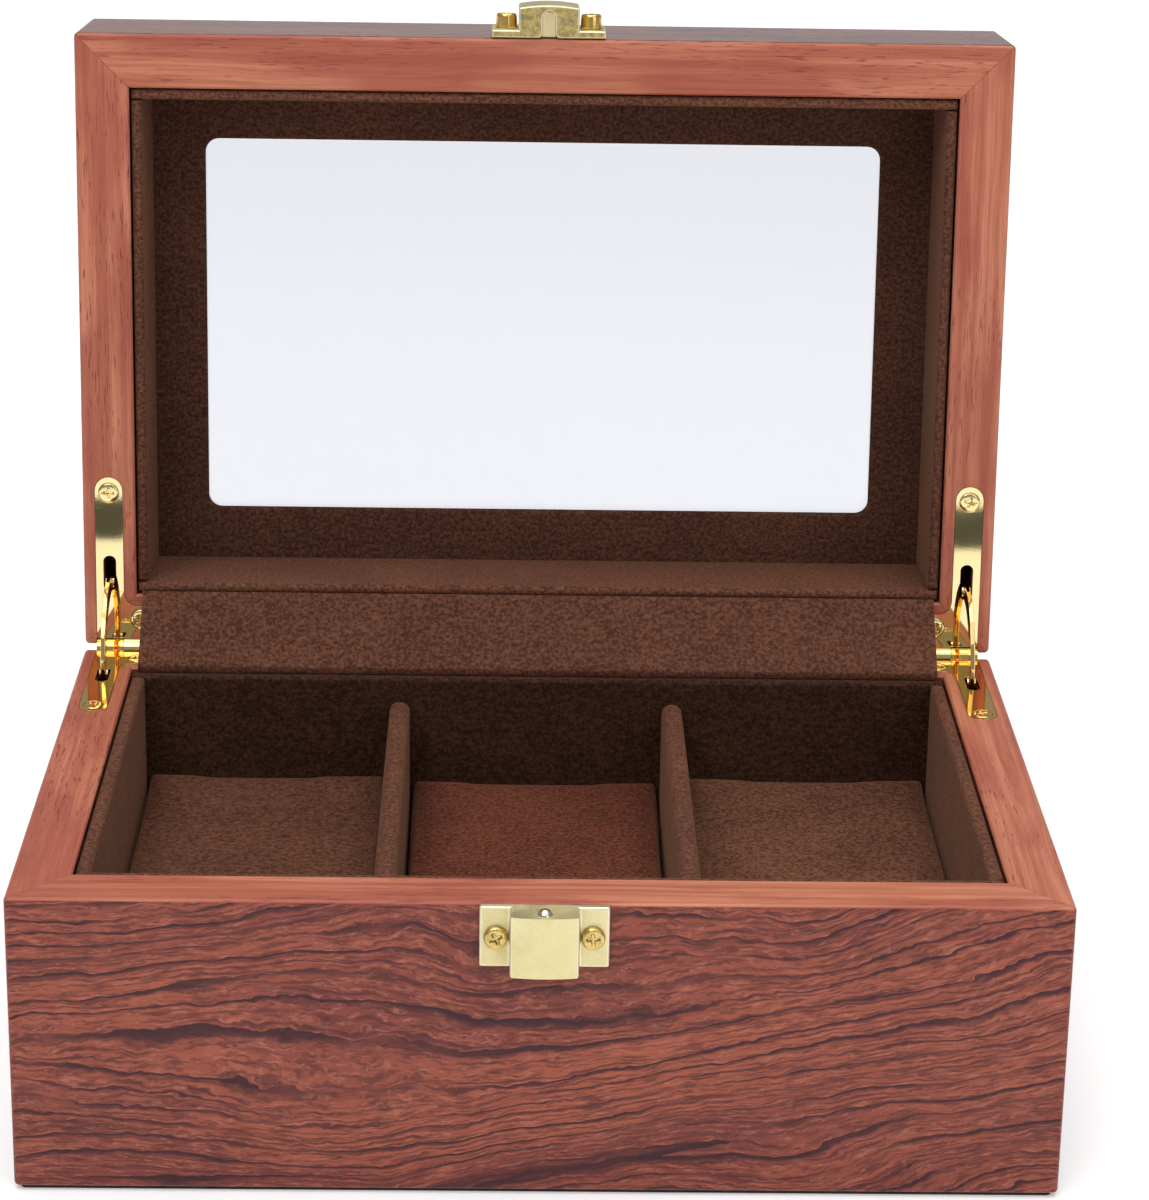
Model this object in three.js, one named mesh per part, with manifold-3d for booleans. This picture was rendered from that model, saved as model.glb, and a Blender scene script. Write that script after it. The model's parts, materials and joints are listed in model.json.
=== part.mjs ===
// A wooden watch box with three compartments and a window in its lid, standing open.
// Millimetres, +Z up. The origin is the centre of the footprint, on the table. The front faces -Y.
//
// The lid is drawn shut, in the same frame as the base, and then swung open about the hinge axis.

import * as THREE from "three";
import { RoundedBoxGeometry } from "three/addons/geometries/RoundedBoxGeometry.js";
import { mergeVertices } from "three/addons/utils/BufferGeometryUtils.js";
import Module from "manifold-3d";

const wasm = await Module();
wasm.setup();

// ---------------------------------------------------------------- driving dimensions

const BOX = {
  width: 200,
  depth: 134,
  baseHeight: 61,
  lidHeight: 33,
  wall: 11.5,
  edgeRound: 1, // outer edges of the wood
  rimEase: 0.4, // chamfer on the inner edges of both rims
  rimGap: 0.4, // between the rims when the lid is shut
  openAngle: 95,
};

const FIT = {
  glue: 0.06, // glued wood joints
  metal: 0.12, // metal let into wood, and metal on metal
  loose: 0.3, // card and glass between boards
  soft: 0.7, // cushions in their compartments
  running: 0.08, // a pin in its knuckles
  eps: 1, // how far a cutting body runs past the face it cuts
};

const FELT = { thickness: 0.8, inset: 1.2 };

const BOTTOM = { thickness: 6 };

const LINING = {
  base: 2.8, // thickness of the base wall linings
  lid: 2.2, // thickness of the lid wall linings
  floor: 2.4,
  window: 1.9,
  baseDrop: 0.8, // from the base rim down to the linings' top edge
  lidDrop: 0.9,
};

const DIVIDER = { thickness: 4.4, drop: 5.6, spacing: 59.1, offset: -0.5, round: 1.6 };

const CUSHION = { height: 26.9, round: 2 };

// side and end are the borders, from the outside of the box to the opening.
const WINDOW = { side: 22.4, end: 22.4, radius: 3, backing: 4.2 };

const GLASS = { thickness: 2, overlap: 6 };

const GUSSET = { thickness: 0.8, inset: 1.5, tuck: 0.9 };

const HINGE = {
  leaf: 1.2,
  armWidth: 6,
  armLength: 37.8,
  tongueReach: 9.8, // from the long arm's middle inwards
  tongueDepth: 8.9, // from the back face forwards
  fillet: 3,
  corner: 1.2,
  setback: 0.5, // from the back face to the pin
  barrelRadius: 1.7,
  barrelSplit: 2.8, // from the long arm's middle inwards
  barrelClear: 0.35,
  pinRadius: 0.75,
  slotSlack: 4.3, // how far a slot runs on in front of the stay arm
  slotWidth: 2.8,
  endScrew: 3.5, // from the rounded end
  cornerScrewIn: 6.6,
  cornerScrewBack: 5.9,
};

const STAY = { inner: 12.9, outer: 16.4, thickness: 1, lap: 3, stud: 1.3, studLength: 2 };

// land is the straight edge of the head, and sunk is how far the head lies under the leaf's face.
const HINGE_SCREW = { head: 2.2, headDepth: 1.15, land: 0.12, sunk: 0.02, shank: 0.9, length: 7, tip: 1 };

const CATCH = {
  offset: 0.6, // the catch sits this far right of centre
  flange: 5.7, // from the block to each end of the plate
  plateHeight: 12.2,
  plateThickness: 1.6,
  blockWidth: 12.9,
  blockDepth: 6.3,
  crown: 0.6, // how far the block's front bulges
  screwInset: 3.1,
  edgeGap: 0.1, // from each rim back to its plate's edge
};

const BALL = {
  radius: 1.6,
  proud: 0.9,
  bore: 1.75,
  boreDepth: 10,
  lip: 1.53,
  lipDrop: 0.15,
  lipDepth: 0.45,
  mouth: 2.05,
  back: 4.4, // from the front board forwards to the ball's centre
};

const SPRING = { wire: 0.22, radius: 1.2, turns: 5 };

const KEEPER = { width: 2.7, length: 5.6, depth: 1.2, flare: 0.5 };

const CATCH_SCREW = {
  head: 2.35,
  headHeight: { base: 1.1, lid: 3 },
  seat: 0.05,
  shank: 1,
  length: 8,
  tip: 1.2,
};

// A pan head from the top down, as shares of its radius and of its height.
const PAN_PROFILE = [
  [0, 1],
  [0.62, 1],
  [0.9, 0.78],
  [1, 0.45],
  [1, 0],
];

// Corner radius of a round-ended slot, as a share of half its width.
const ROUND_END = 0.95;

// ---------------------------------------------------------------- levels and places

const rad = THREE.MathUtils.degToRad;

const INNER = { x: BOX.width / 2 - BOX.wall, y: BOX.depth / 2 - BOX.wall };

const BASE_RIM = BOX.baseHeight;
const LID_RIM = BOX.baseHeight + BOX.rimGap;
const LID_TOP = LID_RIM + BOX.lidHeight;

const AXIS = { y: BOX.depth / 2 + HINGE.setback, z: BOX.baseHeight + BOX.rimGap / 2 };

const FLOOR = {
  panelBottom: FELT.thickness + FIT.glue,
  get panelTop() {
    return this.panelBottom + BOTTOM.thickness;
  },
  get liningTop() {
    return this.panelTop + FIT.loose + LINING.floor;
  },
};

// Inner faces of the linings.
const NEST = {
  x: INNER.x - FIT.loose - LINING.base,
  y: INNER.y - FIT.loose - LINING.base,
};

const LID_LAYERS = {
  frameBottom: LID_TOP - WINDOW.backing,
  get glassBottom() {
    return this.frameBottom + FIT.metal;
  },
  get liningTop() {
    return this.frameBottom - FIT.loose;
  },
  get liningBottom() {
    return this.liningTop - LINING.window;
  },
};

const ARM_X = BOX.width / 2 - BOX.wall / 2; // middle of each hinge's long arm

// The stay arm's slot in each leaf, from the back face forwards.
const SLOT = {
  start: STAY.inner - HINGE.setback - FIT.metal,
  end: STAY.outer - HINGE.setback + HINGE.slotSlack,
};

const OPENING = { width: BOX.width - 2 * WINDOW.side, depth: BOX.depth - 2 * WINDOW.end };

const PLATE_HALF = CATCH.blockWidth / 2 + CATCH.flange;

// ---------------------------------------------------------------- finishes

function finish(color, roughness, metalness = 0, extra = {}) {
  return () => new THREE.MeshStandardMaterial({ color, roughness, metalness, ...extra });
}

const FINISH = {
  wood: finish(0x8a3d2b, 0.35),
  ply: finish(0x9c6a48, 0.7),
  felt: finish(0x2c2320, 0.95),
  suede: finish(0x3b2621, 0.95),
  cushion: finish(0x452c26, 0.95),
  gold: finish(0xd9c07a, 0.15, 1),
  satinGold: finish(0xe0cf95, 0.32, 1),
  steel: finish(0xc8c8c8, 0.1, 1),
  glass: finish(0xe6eef4, 0.02, 0, { transparent: true, opacity: 0.25 }),
};

// ---------------------------------------------------------------- solids

// A closed geometry as a solid that can be cut and joined.
function solid(geometry) {
  const bare = geometry.index ? geometry.toNonIndexed() : geometry.clone();
  const merged = mergeVertices(
    new THREE.BufferGeometry().setAttribute("position", bare.getAttribute("position")),
    1e-4,
  );
  return new wasm.Manifold(
    new wasm.Mesh({
      numProp: 3,
      vertProperties: new Float32Array(merged.attributes.position.array),
      triVerts: new Uint32Array(merged.index.array),
    }),
  );
}

function geometryOf(body) {
  const mesh = body.getMesh();
  const geometry = new THREE.BufferGeometry();
  geometry.setAttribute("position", new THREE.BufferAttribute(mesh.vertProperties, 3));
  geometry.setIndex(new THREE.BufferAttribute(mesh.triVerts, 1));
  geometry.computeVertexNormals();
  return geometry;
}

function cut(body, tools) {
  return tools.reduce((left, tool) => left.subtract(tool), body);
}

function join(bodies) {
  return bodies.reduce((all, body) => all.add(body));
}

// A plain block between two corners.
function block([x0, y0, z0], [x1, y1, z1]) {
  const geometry = new THREE.BoxGeometry(x1 - x0, y1 - y0, z1 - z0);
  geometry.translate((x0 + x1) / 2, (y0 + y1) / 2, (z0 + z1) / 2);
  return solid(geometry);
}

// An outline in plan, carried up from z0 to z1.
function prism(shape, z0, z1, curveSegments = 6) {
  const geometry = new THREE.ExtrudeGeometry(shape, {
    depth: z1 - z0,
    bevelEnabled: false,
    curveSegments,
  });
  geometry.translate(0, 0, z0);
  return solid(geometry);
}

// A round bar along X, between x0 and x1, about the line y, z.
function barX(radius, x0, x1, y, z, segments = 16) {
  const geometry = new THREE.CylinderGeometry(radius, radius, Math.abs(x1 - x0), segments);
  geometry.rotateZ(Math.PI / 2);
  geometry.translate((x0 + x1) / 2, y, z);
  return solid(geometry);
}

// A turned piece standing on (x, y), its profile given as [radius, z] from the axis round to the axis.
function turned(profile, x, y, segments = 16) {
  const points = profile.map(([r, z]) => new THREE.Vector2(r, z));
  const geometry = new THREE.LatheGeometry(points, segments);
  geometry.rotateX(Math.PI / 2);
  geometry.translate(x, y, 0);
  return solid(geometry);
}

// A turned piece lying along Y, its head towards the front, its profile given as [radius, depth].
function turnedFront(profile, x, y, z, segments = 16) {
  const points = profile.map(([r, depth]) => new THREE.Vector2(r, depth));
  const geometry = new THREE.LatheGeometry(points, segments);
  geometry.translate(x, y, z);
  return solid(geometry);
}

function rectangle(x0, y0, x1, y1, radius = 0) {
  const shape = new THREE.Shape();
  if (radius <= 0) {
    shape.moveTo(x0, y0).lineTo(x1, y0).lineTo(x1, y1).lineTo(x0, y1).closePath();
    return shape;
  }
  shape.moveTo(x0 + radius, y0);
  shape.absarc(x1 - radius, y0 + radius, radius, -Math.PI / 2, 0);
  shape.absarc(x1 - radius, y1 - radius, radius, 0, Math.PI / 2);
  shape.absarc(x0 + radius, y1 - radius, radius, Math.PI / 2, Math.PI);
  shape.absarc(x0 + radius, y0 + radius, radius, Math.PI, 1.5 * Math.PI);
  return shape;
}

function centred(width, depth, radius = 0) {
  return rectangle(-width / 2, -depth / 2, width / 2, depth / 2, radius);
}

// The same outline on the right (side 1) or the left (side -1).
function sided(shape, side, curveSegments = 6) {
  const points = shape.getPoints(curveSegments).map((p) => new THREE.Vector2(side * p.x, p.y));
  return new THREE.Shape(points);
}

// ---------------------------------------------------------------- the assembly

const watchBox = new THREE.Group();
const base = new THREE.Group();
const lid = new THREE.Group();
const lidPivot = new THREE.Group();

lid.position.set(0, -AXIS.y, -AXIS.z);
lidPivot.add(lid);
lidPivot.position.set(0, AXIS.y, AXIS.z);
lidPivot.rotation.x = -rad(BOX.openAngle);
watchBox.add(base, lidPivot);

function place(group, name, body, material) {
  const mesh = new THREE.Mesh(geometryOf(body), material());
  mesh.name = name;
  group.add(mesh);
  return mesh;
}

const SIDES = [
  { name: "left", side: -1 },
  { name: "right", side: 1 },
];

// ---------------------------------------------------------------- wooden frames

// One of the four boards' share of a frame: a wedge in plan, with its ends on the mitres.
function mitreWedge(wall, z0, z1) {
  const { width, depth } = BOX;
  const long = wall === "front" || wall === "back";
  const half = (long ? width : depth) / 2;
  const face = (long ? depth : width) / 2;
  const out = FIT.eps;
  const inward = BOX.wall + FIT.eps;
  const gap = FIT.glue / Math.SQRT2;
  // Along the wall (u) and out of the wall (v), so that u reaches half at v = face.
  const corners = [
    [-(half + out - gap), face + out],
    [-(half - inward - gap), face - inward],
    [half - inward - gap, face - inward],
    [half + out - gap, face + out],
  ];
  const turn = { front: [1, -1], back: [1, 1], left: [-1, 1], right: [1, 1] }[wall];
  const points = corners.map(([u, v]) =>
    long ? new THREE.Vector2(u, v * turn[1]) : new THREE.Vector2(v * turn[0], u),
  );
  return prism(new THREE.Shape(points), z0 - out, z1 + out);
}

// A rectangular funnel that takes the sharp edge off a rim's inner edge.
function rimFunnel(rim, into) {
  const ease = BOX.rimEase;
  const height = ease + FIT.eps;
  const geometry = new THREE.BoxGeometry(2 * INNER.x, 2 * INNER.y, height);
  const at = geometry.attributes.position;
  for (let i = 0; i < at.count; i += 1) {
    const wide = at.getZ(i) * into < 0;
    if (wide) {
      at.setX(i, Math.sign(at.getX(i)) * (INNER.x + height));
      at.setY(i, Math.sign(at.getY(i)) * (INNER.y + height));
    }
  }
  geometry.translate(0, 0, rim + into * (ease - height / 2));
  return solid(geometry);
}

// The four mitred boards between z0 and z1, with the rim at z = rim, cut by the tools.
function boards(group, prefix, z0, z1, rim, tools) {
  const outer = new RoundedBoxGeometry(BOX.width, BOX.depth, z1 - z0, 2, BOX.edgeRound);
  outer.translate(0, 0, (z0 + z1) / 2);
  const hollow = block([-INNER.x, -INNER.y, z0 - FIT.eps], [INNER.x, INNER.y, z1 + FIT.eps]);
  const into = rim === z1 ? -1 : 1;
  const frame = cut(solid(outer), [hollow, rimFunnel(rim, into), ...tools]);
  for (const wall of ["front", "back", "left", "right"]) {
    place(group, `${prefix}_${wall}_board`, frame.intersect(mitreWedge(wall, z0, z1)), FINISH.wood);
  }
}

// ---------------------------------------------------------------- stay hinges

// A leaf in plan: a long arm on the side board and a tongue on the back board. All of it can be grown
// by a clearance, for the recess.
function leafOutline(side, grow = 0) {
  const half = HINGE.armWidth / 2 + grow;
  const back = BOX.depth / 2;
  const tip = back - HINGE.armLength + HINGE.armWidth / 2;
  const tongueFront = back - HINGE.tongueDepth - grow;
  const tongueEnd = ARM_X - HINGE.tongueReach - grow;
  const fillet = HINGE.fillet - grow;
  const corner = HINGE.corner + grow;
  const rear = grow > 0 ? back + FIT.eps : back;
  const shape = new THREE.Shape();
  shape.moveTo(ARM_X + half, rear);
  shape.lineTo(ARM_X + half, tip);
  shape.absarc(ARM_X, tip, half, 0, -Math.PI, true);
  shape.lineTo(ARM_X - half, tongueFront - fillet);
  shape.absarc(ARM_X - half - fillet, tongueFront - fillet, fillet, 0, Math.PI / 2);
  shape.lineTo(tongueEnd + corner, tongueFront);
  shape.absarc(tongueEnd + corner, tongueFront + corner, corner, -Math.PI / 2, -Math.PI, true);
  shape.lineTo(tongueEnd, rear);
  return sided(shape, side);
}

// Where the barrel lies: the base leaf's knuckle is the outer one, the lid leaf's the inner one.
function knuckle(owner) {
  const outer = ARM_X + HINGE.armWidth / 2;
  const split = ARM_X - HINGE.barrelSplit;
  const inner = ARM_X - HINGE.tongueReach;
  return owner === "base" ? [split + FIT.metal / 2, outer] : [inner, split - FIT.metal / 2];
}

// The places of a leaf's two screws.
function screwSpots(side) {
  const back = BOX.depth / 2;
  return [
    { at: "front", x: side * ARM_X, y: back - HINGE.armLength + HINGE.endScrew },
    { at: "corner", x: side * (ARM_X - HINGE.cornerScrewIn), y: back - HINGE.cornerScrewBack },
  ];
}

// The two halves of a hinge: face is the rim it lies in, and into points into that wood.
const HALVES = {
  base: { face: BASE_RIM, into: -1 },
  lid: { face: LID_RIM, into: 1 },
};

// A countersunk screw's profile, grown by a clearance for its hole.
function countersunk(face, into, grow = 0) {
  const { head, headDepth, land, sunk, shank, length, tip } = HINGE_SCREW;
  const z = (depth) => face + into * depth;
  const top = grow > 0 ? -FIT.eps : sunk;
  const side = [
    [0, z(top)],
    [head + grow, z(top)],
    [head + grow, z(land)],
    [shank + grow, z(headDepth)],
    [shank + grow, z(length - tip + grow)],
    [0, z(length + grow)],
  ];
  return into > 0 ? side : side.reverse();
}

function stayPocket(side, owner) {
  const { face, into } = HALVES[owner];
  const half = STAY.studLength / 2 + FIT.loose;
  const x = side * ARM_X;
  const swing = rad(BOX.openAngle / 2 + STAY.lap);
  const deep = (STAY.outer + FIT.loose) * Math.sin(swing) + STAY.stud;
  const near = ((STAY.inner + STAY.outer) / 2) * Math.cos(swing) - STAY.stud - FIT.loose;
  const y0 = BOX.depth / 2 - SLOT.end;
  const y1 = AXIS.y - near;
  const [z0, z1] = [face - into * FIT.eps, face + into * deep].sort((a, b) => a - b);
  return block([x - half, y0, z0], [x + half, y1, z1]);
}

function slot(side, owner) {
  const { face, into } = HALVES[owner];
  const back = BOX.depth / 2;
  const half = HINGE.slotWidth / 2;
  const [z0, z1] = [face - into * FIT.eps, face + into * (HINGE.leaf + FIT.eps)].sort((a, b) => a - b);
  const x = side * ARM_X;
  return prism(rectangle(x - half, back - SLOT.end, x + half, back - SLOT.start, half * ROUND_END), z0, z1);
}

// Everything that the wood gives up to one hinge half.
function hingeCuts(owner) {
  const { face, into } = HALVES[owner];
  const tools = [];
  for (const { side } of SIDES) {
    const [z0, z1] = [face - into * FIT.eps, face + into * (HINGE.leaf + FIT.metal)].sort((a, b) => a - b);
    tools.push(prism(leafOutline(side, FIT.metal), z0, z1));
    tools.push(stayPocket(side, owner));
    const outer = ARM_X + HINGE.armWidth / 2 + FIT.metal;
    const inner = ARM_X - HINGE.tongueReach - FIT.metal;
    const clear = HINGE.barrelRadius + HINGE.barrelClear;
    tools.push(barX(clear, side * inner, side * outer, AXIS.y, AXIS.z));
    for (const spot of screwSpots(side)) {
      tools.push(turned(countersunk(face, into, FIT.metal), spot.x, spot.y));
    }
  }
  return tools;
}

function leaf(side, owner) {
  const { face, into } = HALVES[owner];
  const other = owner === "base" ? "lid" : "base";
  const [z0, z1] = [face, face + into * HINGE.leaf].sort((a, b) => a - b);
  const [ownIn, ownOut] = knuckle(owner);
  const [otherIn, otherOut] = knuckle(other);
  const clear = HINGE.barrelRadius + HINGE.barrelClear;
  const plate = prism(leafOutline(side), z0, z1);
  const room = barX(
    clear,
    side * (otherIn - (owner === "base" ? FIT.eps : FIT.metal)),
    side * (otherOut + (owner === "base" ? FIT.metal : FIT.eps)),
    AXIS.y,
    AXIS.z,
  );
  const barrel = barX(HINGE.barrelRadius, side * ownIn, side * ownOut, AXIS.y, AXIS.z);
  const bore = barX(
    HINGE.pinRadius + FIT.running,
    side * (ownIn - FIT.eps),
    side * (ownOut + FIT.eps),
    AXIS.y,
    AXIS.z,
  );
  const holes = screwSpots(side).map((spot) =>
    turned(countersunk(face, into, FIT.metal), spot.x, spot.y),
  );
  return cut(join([plate.subtract(room), barrel]), [bore, slot(side, owner), ...holes]);
}

// The stay arm: a flat arc about the hinge axis with a stop stud at each end. It is drawn across the
// opening, half in the base and half in the lid.
function stay(side) {
  const half = rad(BOX.openAngle / 2 + STAY.lap);
  const middle = (STAY.inner + STAY.outer) / 2;
  const shape = new THREE.Shape();
  shape.absarc(0, 0, STAY.outer, -half, half);
  shape.absarc(0, 0, STAY.inner, half, -half, true);
  const plate = new THREE.ExtrudeGeometry(shape, {
    depth: STAY.thickness,
    bevelEnabled: false,
    curveSegments: 14,
  });
  plate.translate(0, 0, -STAY.thickness / 2);
  const studs = [-half, half].map((angle) => {
    const stud = new THREE.CylinderGeometry(STAY.stud, STAY.stud, STAY.studLength, 12);
    stud.rotateX(Math.PI / 2);
    stud.translate(middle * Math.cos(angle), middle * Math.sin(angle), 0);
    return solid(stud);
  });
  const body = geometryOf(join([solid(plate), ...studs]));
  // From its own plane to the side of the box: its middle looks forward and up, at half the opening.
  body.rotateY(Math.PI / 2);
  body.rotateX(Math.PI / 2);
  const lift = rad(BOX.openAngle / 2);
  body.rotateX(Math.PI - lift);
  body.translate(side * ARM_X, AXIS.y, AXIS.z);
  return solid(body);
}

function hinges() {
  for (const { name, side } of SIDES) {
    place(base, `${name}_hinge_base_leaf`, leaf(side, "base"), FINISH.gold);
    place(lid, `${name}_hinge_lid_leaf`, leaf(side, "lid"), FINISH.gold);
    const [, outer] = knuckle("base");
    const [inner] = knuckle("lid");
    const pin = barX(HINGE.pinRadius, side * inner, side * outer, AXIS.y, AXIS.z, 12);
    place(base, `${name}_hinge_pin`, pin, FINISH.gold);
    place(watchBox, `${name}_stay_arm`, stay(side), FINISH.gold);
    for (const [owner, group] of [["base", base], ["lid", lid]]) {
      const { face, into } = HALVES[owner];
      for (const spot of screwSpots(side)) {
        const screw = turned(countersunk(face, into), spot.x, spot.y);
        place(group, `${name}_hinge_${owner}_${spot.at}_screw`, screw, FINISH.gold);
      }
    }
  }
}

// ---------------------------------------------------------------- ball catch

const CATCH_LEVELS = {
  base: { edge: BASE_RIM - CATCH.edgeGap, into: -1 },
  lid: { edge: LID_RIM + CATCH.edgeGap, into: 1 },
};

const FRONT = -BOX.depth / 2;

// A catch half in plan: a plate on the front board with a crowned block standing out of it.
function catchOutline() {
  const { plateThickness, blockWidth, blockDepth, crown } = CATCH;
  const backY = FRONT - FIT.metal;
  const plateY = backY - plateThickness;
  const blockY = backY - blockDepth;
  const half = blockWidth / 2;
  const crownRadius = (half * half + crown * crown) / (2 * crown);
  const spread = Math.asin(half / crownRadius);
  const middle = CATCH.offset;
  const shape = new THREE.Shape();
  shape.moveTo(middle - PLATE_HALF, backY);
  shape.lineTo(middle - PLATE_HALF, plateY);
  shape.lineTo(middle - half, plateY);
  shape.lineTo(middle - half, blockY);
  const centreY = blockY - crown + crownRadius;
  shape.absarc(middle, centreY, crownRadius, -Math.PI / 2 - spread, -Math.PI / 2 + spread);
  shape.lineTo(middle + half, plateY);
  shape.lineTo(middle + PLATE_HALF, plateY);
  shape.lineTo(middle + PLATE_HALF, backY);
  return shape;
}

function catchScrewSpots() {
  const out = PLATE_HALF - CATCH.screwInset;
  return SIDES.map(({ name, side }) => ({ name, x: CATCH.offset + side * out }));
}

const CATCH_SEAT = FRONT - FIT.metal - CATCH.plateThickness;

// The hole of a pan-head screw, through the plate and into the wood.
function panHole(x, z, grow) {
  const { shank, length } = CATCH_SCREW;
  return turnedFront(
    [
      [0, CATCH_SEAT - FIT.eps],
      [shank + grow, CATCH_SEAT - FIT.eps],
      [shank + grow, CATCH_SEAT + length],
      [0, CATCH_SEAT + length + FIT.eps],
    ],
    x,
    0,
    z,
  );
}

// A pan-head screw that lies along Y with its head in front of the plate.
function panHead(x, z, headHeight) {
  const { head, seat, shank, length, tip } = CATCH_SCREW;
  const under = CATCH_SEAT - seat;
  return turnedFront(
    [
      ...PAN_PROFILE.map(([radius, height]) => [head * radius, under - headHeight * height]),
      [shank, under],
      [shank, CATCH_SEAT + length - tip],
      [0, CATCH_SEAT + length],
    ],
    x,
    0,
    z,
  );
}

function catchZ(owner, depth) {
  const { edge, into } = CATCH_LEVELS[owner];
  return edge + into * depth;
}

const BALL_Y = FRONT - BALL.back;

// The bore in the base block: a shallow mouth, a lip that the ball can't pass, and the spring's well.
function ballBore() {
  const top = catchZ("base", 0);
  return turned(
    [
      [0, top - BALL.boreDepth],
      [BALL.bore, top - BALL.boreDepth],
      [BALL.bore, top - BALL.lipDrop - BALL.lipDepth],
      [BALL.lip, top - BALL.lipDrop],
      [BALL.mouth, top - BALL.lipDrop],
      [BALL.mouth, top + FIT.eps],
      [0, top + FIT.eps],
    ],
    CATCH.offset,
    BALL_Y,
    24,
  );
}

// The groove in the lid block: round in front, open and flared towards the wood.
function keeperGroove() {
  const { width, length, depth, flare } = KEEPER;
  const half = width / 2;
  const backY = FRONT - FIT.metal;
  const round = backY - length + half;
  const middle = CATCH.offset;
  const shape = new THREE.Shape();
  shape.moveTo(middle - half - flare, backY + FIT.eps);
  shape.lineTo(middle - half - flare, backY);
  shape.lineTo(middle - half, backY - 2 * flare);
  shape.absarc(middle, round, half, Math.PI, 2 * Math.PI);
  shape.lineTo(middle + half, backY - 2 * flare);
  shape.lineTo(middle + half + flare, backY);
  shape.lineTo(middle + half + flare, backY + FIT.eps);
  const edge = catchZ("lid", 0);
  return prism(shape, edge - FIT.eps, edge + depth);
}

function catchScrewHoles(owner) {
  const middle = catchZ(owner, CATCH.plateHeight / 2);
  return catchScrewSpots().map(({ x }) => panHole(x, middle, FIT.metal));
}

function catchPlate(owner, tools) {
  const [z0, z1] = [catchZ(owner, 0), catchZ(owner, CATCH.plateHeight)].sort((a, b) => a - b);
  return cut(prism(catchOutline(), z0, z1, 12), [...catchScrewHoles(owner), ...tools]);
}

function ball() {
  const sphere = new THREE.SphereGeometry(BALL.radius, 16, 12);
  sphere.rotateX(Math.PI / 2);
  sphere.translate(CATCH.offset, BALL_Y, catchZ("base", 0) + BALL.proud - BALL.radius);
  return solid(sphere);
}

// A compression spring that stands in the bore under the ball.
function ballSpring() {
  const foot = catchZ("base", BALL.boreDepth) + FIT.loose + SPRING.wire;
  const ballLow = catchZ("base", 0) + BALL.proud - 2 * BALL.radius;
  const rise = ballLow - FIT.loose - SPRING.wire - foot;
  class Coil extends THREE.Curve {
    getPoint(t, target = new THREE.Vector3()) {
      const turn = t * SPRING.turns * 2 * Math.PI;
      const { radius } = SPRING;
      return target.set(radius * Math.cos(turn), radius * Math.sin(turn), rise * t);
    }
  }
  const wire = new THREE.Shape();
  wire.absarc(0, 0, SPRING.wire, 0, 2 * Math.PI);
  const geometry = new THREE.ExtrudeGeometry(wire, {
    extrudePath: new Coil(),
    steps: SPRING.turns * 9,
    curveSegments: 3,
    bevelEnabled: false,
  });
  geometry.translate(CATCH.offset, BALL_Y, foot);
  return solid(geometry);
}

function ballCatch() {
  place(base, "catch_base_plate", catchPlate("base", [ballBore()]), FINISH.satinGold);
  place(base, "catch_ball", ball(), FINISH.steel);
  place(base, "catch_spring", ballSpring(), FINISH.steel);
  place(lid, "catch_lid_plate", catchPlate("lid", [keeperGroove()]), FINISH.satinGold);
  for (const [owner, group] of [["base", base], ["lid", lid]]) {
    const z = catchZ(owner, CATCH.plateHeight / 2);
    for (const { name, x } of catchScrewSpots()) {
      place(group, `catch_${owner}_${name}_screw`, panHead(x, z, CATCH_SCREW.headHeight[owner]), FINISH.gold);
    }
  }
}

// ---------------------------------------------------------------- base

function baseWood() {
  const tools = [...hingeCuts("base"), ...catchScrewHoles("base")];
  boards(base, "base", FELT.thickness, BASE_RIM, BASE_RIM, tools);
  const x = INNER.x - FIT.glue;
  const y = INNER.y - FIT.glue;
  const panel = block([-x, -y, FLOOR.panelBottom], [x, y, FLOOR.panelTop]);
  place(base, "bottom_panel", panel, FINISH.ply);
  const felt = centred(BOX.width - 2 * FELT.inset, BOX.depth - 2 * FELT.inset, 1);
  place(base, "bottom_felt", prism(felt, 0, FELT.thickness - FIT.glue / 2), FINISH.felt);
}

// Four wall linings of the given thickness. The long ones run full width and hold the short ones.
function wallLinings(group, prefix, thickness, z0, z1) {
  const x = INNER.x - FIT.loose;
  const y = INNER.y - FIT.loose;
  const shortY = y - thickness - FIT.loose;
  const walls = {
    front: block([-x, -y, z0], [x, -y + thickness, z1]),
    back: block([-x, y - thickness, z0], [x, y, z1]),
    left: block([-x, -shortY, z0], [-x + thickness, shortY, z1]),
    right: block([x - thickness, -shortY, z0], [x, shortY, z1]),
  };
  for (const [wall, body] of Object.entries(walls)) {
    place(group, `${prefix}_${wall}_lining`, body, FINISH.suede);
  }
}

// A board with a rounded top edge, running front to back.
function dividerBoard(x, z0, z1) {
  const { thickness, round } = DIVIDER;
  const half = thickness / 2;
  const length = 2 * (NEST.y - FIT.loose);
  const section = new THREE.Shape();
  section.moveTo(-half, 0);
  section.lineTo(half, 0);
  section.absarc(half - round, z1 - z0 - round, round, 0, Math.PI / 2);
  section.absarc(-half + round, z1 - z0 - round, round, Math.PI / 2, Math.PI);
  const geometry = new THREE.ExtrudeGeometry(section, {
    depth: length,
    bevelEnabled: false,
    curveSegments: 4,
  });
  geometry.rotateX(Math.PI / 2);
  geometry.translate(x, length / 2, z0);
  return solid(geometry);
}

const DIVIDER_X = SIDES.map(({ side }) => DIVIDER.offset + (side * DIVIDER.spacing) / 2);

function compartments() {
  const half = DIVIDER.thickness / 2;
  return [
    { name: "left", x0: -NEST.x, x1: DIVIDER_X[0] - half },
    { name: "middle", x0: DIVIDER_X[0] + half, x1: DIVIDER_X[1] - half },
    { name: "right", x0: DIVIDER_X[1] + half, x1: NEST.x },
  ];
}

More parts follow.
